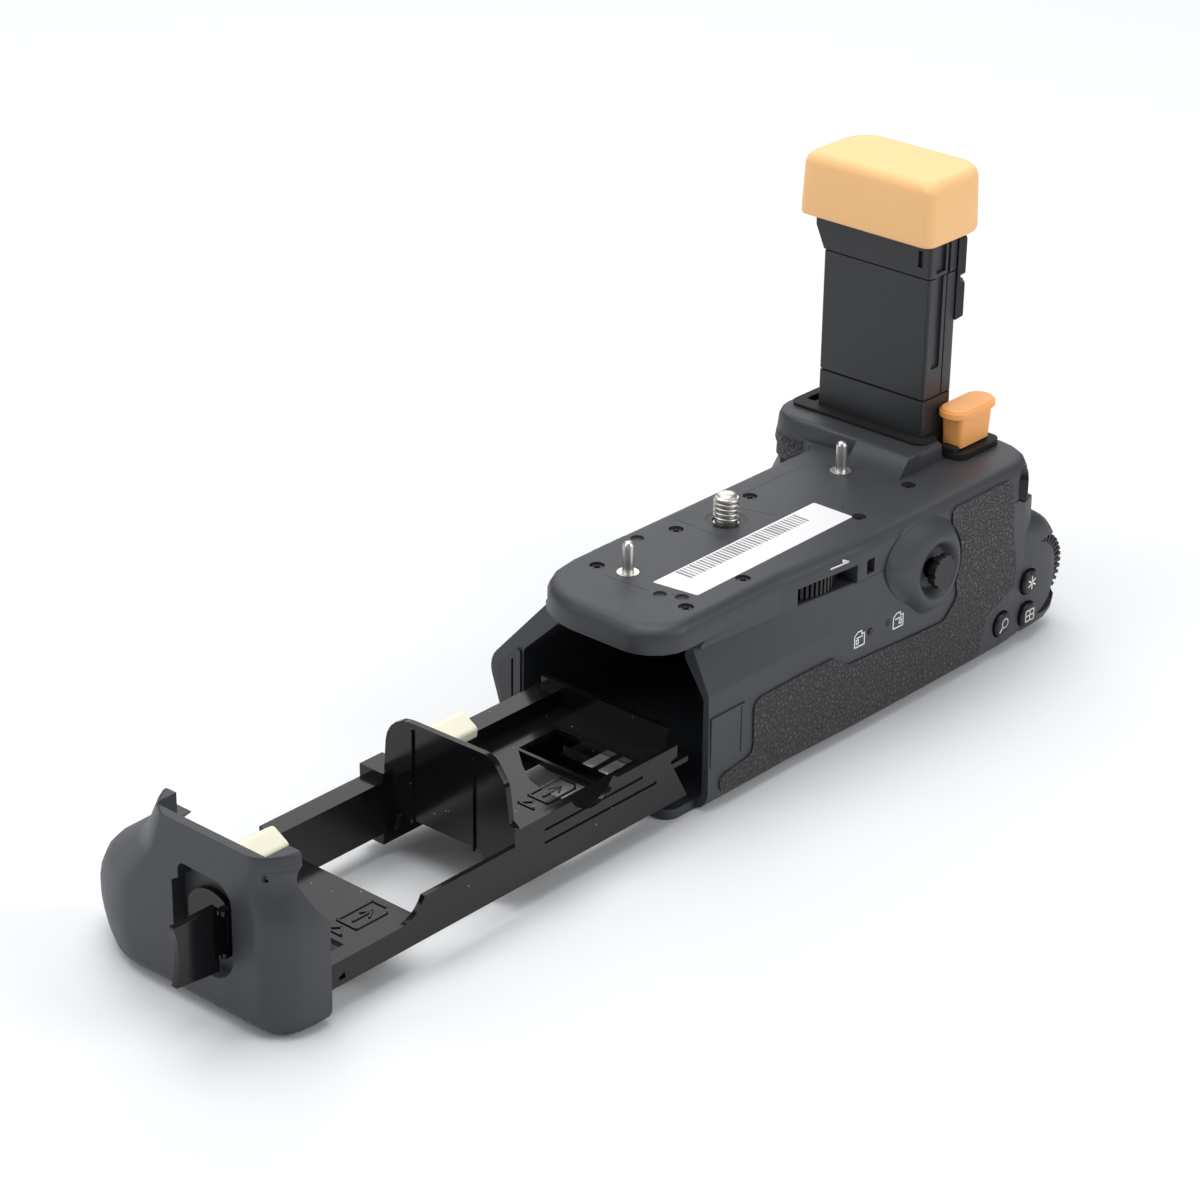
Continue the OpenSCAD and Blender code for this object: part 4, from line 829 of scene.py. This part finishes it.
strokes("first_grip_sign", grip_sign(False), 0.36, rear_wall("main_casing", 13.0, 26.2), "housing", "label_white")
strokes("second_grip_sign", grip_sign(True), 0.36, rear_wall("main_casing", 28.1, 26.2), "housing", "label_white")
arrow = chain((-3, 0), (1.6, 0))
for barb in (((1.1, 1.1), (3.2, 0.1)), ((1.2, 0.6), (2.8, 0.15)), ((1.4, 0.1), (2.9, 0))):
    arrow += chain(*barb)
strokes("turn_arrow", arrow, 0.42, rear_wall("top_cover", 3.8, 49.3), "housing", "label_white")
print("strokes: grip sign", len(grip_sign(True)), "arrow", len(arrow))

# %% Marks on the buttons
STAR_R = 1.75


def spoke(turn):
    """A stroke through the middle of a star, at an angle."""
    x, y = STAR_R * math.cos(turn), STAR_R * math.sin(turn)
    return chain((x, y), (-x, -y))


star = sum((spoke(math.pi * (k / 3 + 0.5)) for k in range(3)), [])
window = chain((-1.8, -1.5), (1.8, -1.5), (1.8, 1.5), (-1.8, 1.5), closed=True)
window += chain((0, -1.5), (0, 1.5)) + chain((-1.8, 0), (1.8, 0))
lens = chain(*ring_of(1.25, 14, (0.4, 0.4))) + chain((-0.55, -0.5), (-1.8, -1.7))
strokes("star_mark", star, 0.4, rear_wall("star_button", 85, 17), "star_button", "label_white")
strokes("grid_mark", window, 0.36, rear_wall("grid_button", 85, 7.6), "grid_button", "label_white")
strokes("zoom_mark", lens, 0.4, rear_wall("zoom_button", 73.4, 8.8), "zoom_button", "label_white")
print("strokes: star", len(star), "grid", len(window), "lens", len(lens))

# %% [markdown]
# ## A patch of leather on the tower
# The wall under the column's foot carries the same grained rubber as the skins. The wall is curved, so a
# flat panel would stand off it. The patch is laid on the wall as a thin sheet instead: each of its points
# is found by looking along the grip at the wall.

# %% Patch on the tower
PATCH_T = 0.12 * MM
PATCH_ROWS, PATCH_COLUMNS = 10, 14
LOOK_FROM_X = 30


def laid_on(name, node, corners, material, body, slot):
    """A sheet between four corners (y, z), given round from low left, that lies on a wall seen along X."""
    wall = surface_of(node)
    bm = bmesh.new()
    layers = [[], []]
    for i in range(PATCH_ROWS + 1):
        for k in range(PATCH_COLUMNS + 1):
            a, b = k / PATCH_COLUMNS, i / PATCH_ROWS
            weights = ((1 - a) * (1 - b), a * (1 - b), a * b, (1 - a) * b)
            y, z = (sum(w * corner[axis] for w, corner in zip(weights, corners)) for axis in (0, 1))
            spot, normal, _, _ = wall.ray_cast(Vector((LOOK_FROM_X, y, z)) * MM, Vector((1, 0, 0)))
            layers[0].append(bm.verts.new(spot + normal * PATCH_T))
            layers[1].append(bm.verts.new(spot - normal * PATCH_T))
    across = PATCH_COLUMNS + 1
    for i in range(PATCH_ROWS):
        for k in range(PATCH_COLUMNS):
            at = (i * across + k, i * across + k + 1, (i + 1) * across + k + 1, (i + 1) * across + k)
            bm.faces.new([layers[0][q] for q in at])
            bm.faces.new([layers[1][q] for q in reversed(at)])
    edge = list(range(across)) + [i * across + PATCH_COLUMNS for i in range(1, PATCH_ROWS + 1)]
    edge += [PATCH_ROWS * across + k for k in reversed(range(PATCH_COLUMNS))]
    edge += [i * across for i in reversed(range(1, PATCH_ROWS))]
    for first, last in zip(edge, edge[1:] + edge[:1]):
        bm.faces.new((layers[0][first], layers[1][first], layers[1][last], layers[0][last]))
    bmesh.ops.recalc_face_normals(bm, faces=bm.faces)
    piece = finished(name, bm, material)
    settle(piece, body, slot)
    print(name, "faces:", len(piece.data.polygons))


PATCH_CORNERS = ((18.3, 43.4), (31.0, 43.4), (31.0, 51.2), (18.3, 51.4))
laid_on("tower_patch", "top_cover", PATCH_CORNERS, leather_rubber, "housing", "skin_rubber")

# %% [markdown]
# ## Seams and moulded signs
# Fine seams divide the plate where its fixings and inserts meet it. Cut into the mesh, they would leave
# slivers, so they are drawn as dark hairlines. Both decks of the tray carry a raised sign that shows which
# way round a battery goes. Here it is a plain battery and an arrow, built up of low ribs in the tray's own
# plastic, by the same helper as the printed strokes.

# %% Seams on the plate
# Each seam runs between two places on the plate, in millimetres.
on_plate = ((0, 0, TOP_Z), (1, 0, 0), (0, 1, 0))
SEAM_W, SEAM_T = 0.16, 0.008 * MM
seams = [((-44.4, 0.8), (-43.6, -12.0)), ((-8.1, 11.3), (-8.6, -6.8)), ((7.2, 4.4), (10.7, -7.8)),
         ((13.5, 7.0), (40.0, 7.0)), ((-36.0, 12.2), (-24.0, 12.2))]
strokes("plate_seams", seams, SEAM_W, on_plate, "housing", "body_plastic", seam_grey, SEAM_T)
print("seams:", len(seams))

# %% Battery signs on the decks
RIB_W, RIB_T = 0.5, 0.28 * MM
OUTER_DECK_Z, INNER_DECK_Z = 12.5, 16.9


def battery_sign(centre):
    """A battery's outline with an arrow that points to the contacts, as ribs on a deck."""
    x, y = centre
    case = chain((x - 5.5, y - 3), (x + 4, y - 3), (x + 5.5, y - 1.5), (x + 5.5, y + 3), (x - 5.5, y + 3), closed=True)
    point = chain((x - 3.6, y), (x + 1.4, y)) + chain((x, y + 1.5), (x + 2.4, y), (x, y - 1.5))
    key = chain((x - 9.6, y - 2.4), (x - 7.0, y), (x - 9.6, y + 2.4), closed=True)
    return case + point + key


signs = (("outer_sign", (-147.6, -20.6), OUTER_DECK_Z), ("inner_sign", (-83.4, -18.6), INNER_DECK_Z))
for name, centre, deck in signs:
    strokes(name, battery_sign(centre), RIB_W, ((0, 0, deck), (1, 0, 0), (0, 1, 0)), "magazine", "tray_plastic",
            tray_black, RIB_T)
print("signs:", len(signs))

# %% [markdown]
# ## Table and light
# The grip stands on a white sheet. A curved sweep could carry it up behind the grip, but a flat sheet
# that fades into the pale room about a metre away looks the same from every side. Large soft lamps light
# it evenly. Glossy rays see a darker room, so the black tray mirrors the lamps and little else.

# %% Floor
FLOOR_REACH = 6.0
BELOW_GRIP = 0.2 * MM
FADE_FROM, FADE_TO, FADE_SCALE = 0.76, 1.5, 0.5

corners = [(-FLOOR_REACH, -FLOOR_REACH, 0), (FLOOR_REACH, -FLOOR_REACH, 0), (FLOOR_REACH, FLOOR_REACH, 0),
           (-FLOOR_REACH, FLOOR_REACH, 0)]
floor_mesh = bpy.data.meshes.new("table")
floor_mesh.from_pydata(corners, [], [(0, 1, 2, 3)])
floor = bpy.data.objects.new("table", floor_mesh)
scene.collection.objects.link(floor)
floor.location.z = -BELOW_GRIP

table_white = Finish("white table", Roughness=0.65, Specular_IOR_Level=0.25)
mottle = table_white.noise(0.35, detail=2.0)
away = table_white.node("ShaderNodeVectorMath", {"operation": "LENGTH"}, {0: table_white.place}).out("Value")
faded = table_white.ramp(away * FADE_SCALE, (FADE_FROM * FADE_SCALE, 1.0), (FADE_TO * FADE_SCALE, 0.0))
paper = table_white.mixed((0.765, 0.775, 0.79), (0.79, 0.795, 0.805), mottle)
floor_mesh.materials.append(table_white.set(Base_Color=paper, Alpha=faded))
print("table spans, m:", 2 * FLOOR_REACH)

# %% Room
world = bpy.data.worlds.new("room")
scene.world = world
world.use_nodes = True
room = world.node_tree
ray = room.nodes.new("ShaderNodeLightPath")
ROOM_COLOUR = (0.97, 0.985, 1.0, 1)
ROOM_LIGHT, ROOM_MIRRORED, ROOM_SEEN = 0.38, 0.07, 0.93


def glow(strength):
    """The room's colour at a strength, where 1 is white."""
    made = room.nodes.new("ShaderNodeBackground")
    made.inputs["Color"].default_value = ROOM_COLOUR
    made.inputs["Strength"].default_value = strength
    return made.outputs[0]


def one_or_other(kind_of_ray, otherwise, chosen):
    """Picks a glow by the kind of ray that meets the room."""
    made = room.nodes.new("ShaderNodeMixShader")
    for socket, source in zip(made.inputs, (ray.outputs[kind_of_ray], otherwise, chosen)):
        room.links.new(source, socket)
    return made.outputs[0]


lit = one_or_other("Is Glossy Ray", glow(ROOM_LIGHT), glow(ROOM_MIRRORED))
seen = one_or_other("Is Camera Ray", lit, glow(ROOM_SEEN))
room.links.new(seen, room.nodes["World Output"].inputs[0])


# %% Lamps
# Places, aims and sizes are metres, and powers are watts.
def lamp(name, place, aim, size, watts):
    """A soft rectangular lamp at a place, turned towards a point."""
    data = bpy.data.lights.new(name, "AREA")
    data.shape = "RECTANGLE"
    data.size, data.size_y = size
    data.energy = watts
    made = bpy.data.objects.new(name, data)
    made.location = place
    made.rotation_euler = (Vector(aim) - Vector(place)).to_track_quat("-Z", "Y").to_euler()
    scene.collection.objects.link(made)


lamp("overhead", (-0.1, 0.2, 1.25), (-0.02, 0, 0), (1.3, 1.0), 13.7)
lamp("left softbox", (-1.0, 0.55, 0.75), (-0.05, 0, 0.03), (0.9, 0.7), 3.3)
lamp("right softbox", (0.45, -1.15, 0.75), (0, 0, 0.05), (0.9, 0.7), 7.2)
lamp("back card", (1.15, 1.0, 0.75), (0, 0, 0.03), (1.8, 1.0), 8.2)
print("lamps:", len(bpy.data.lights))
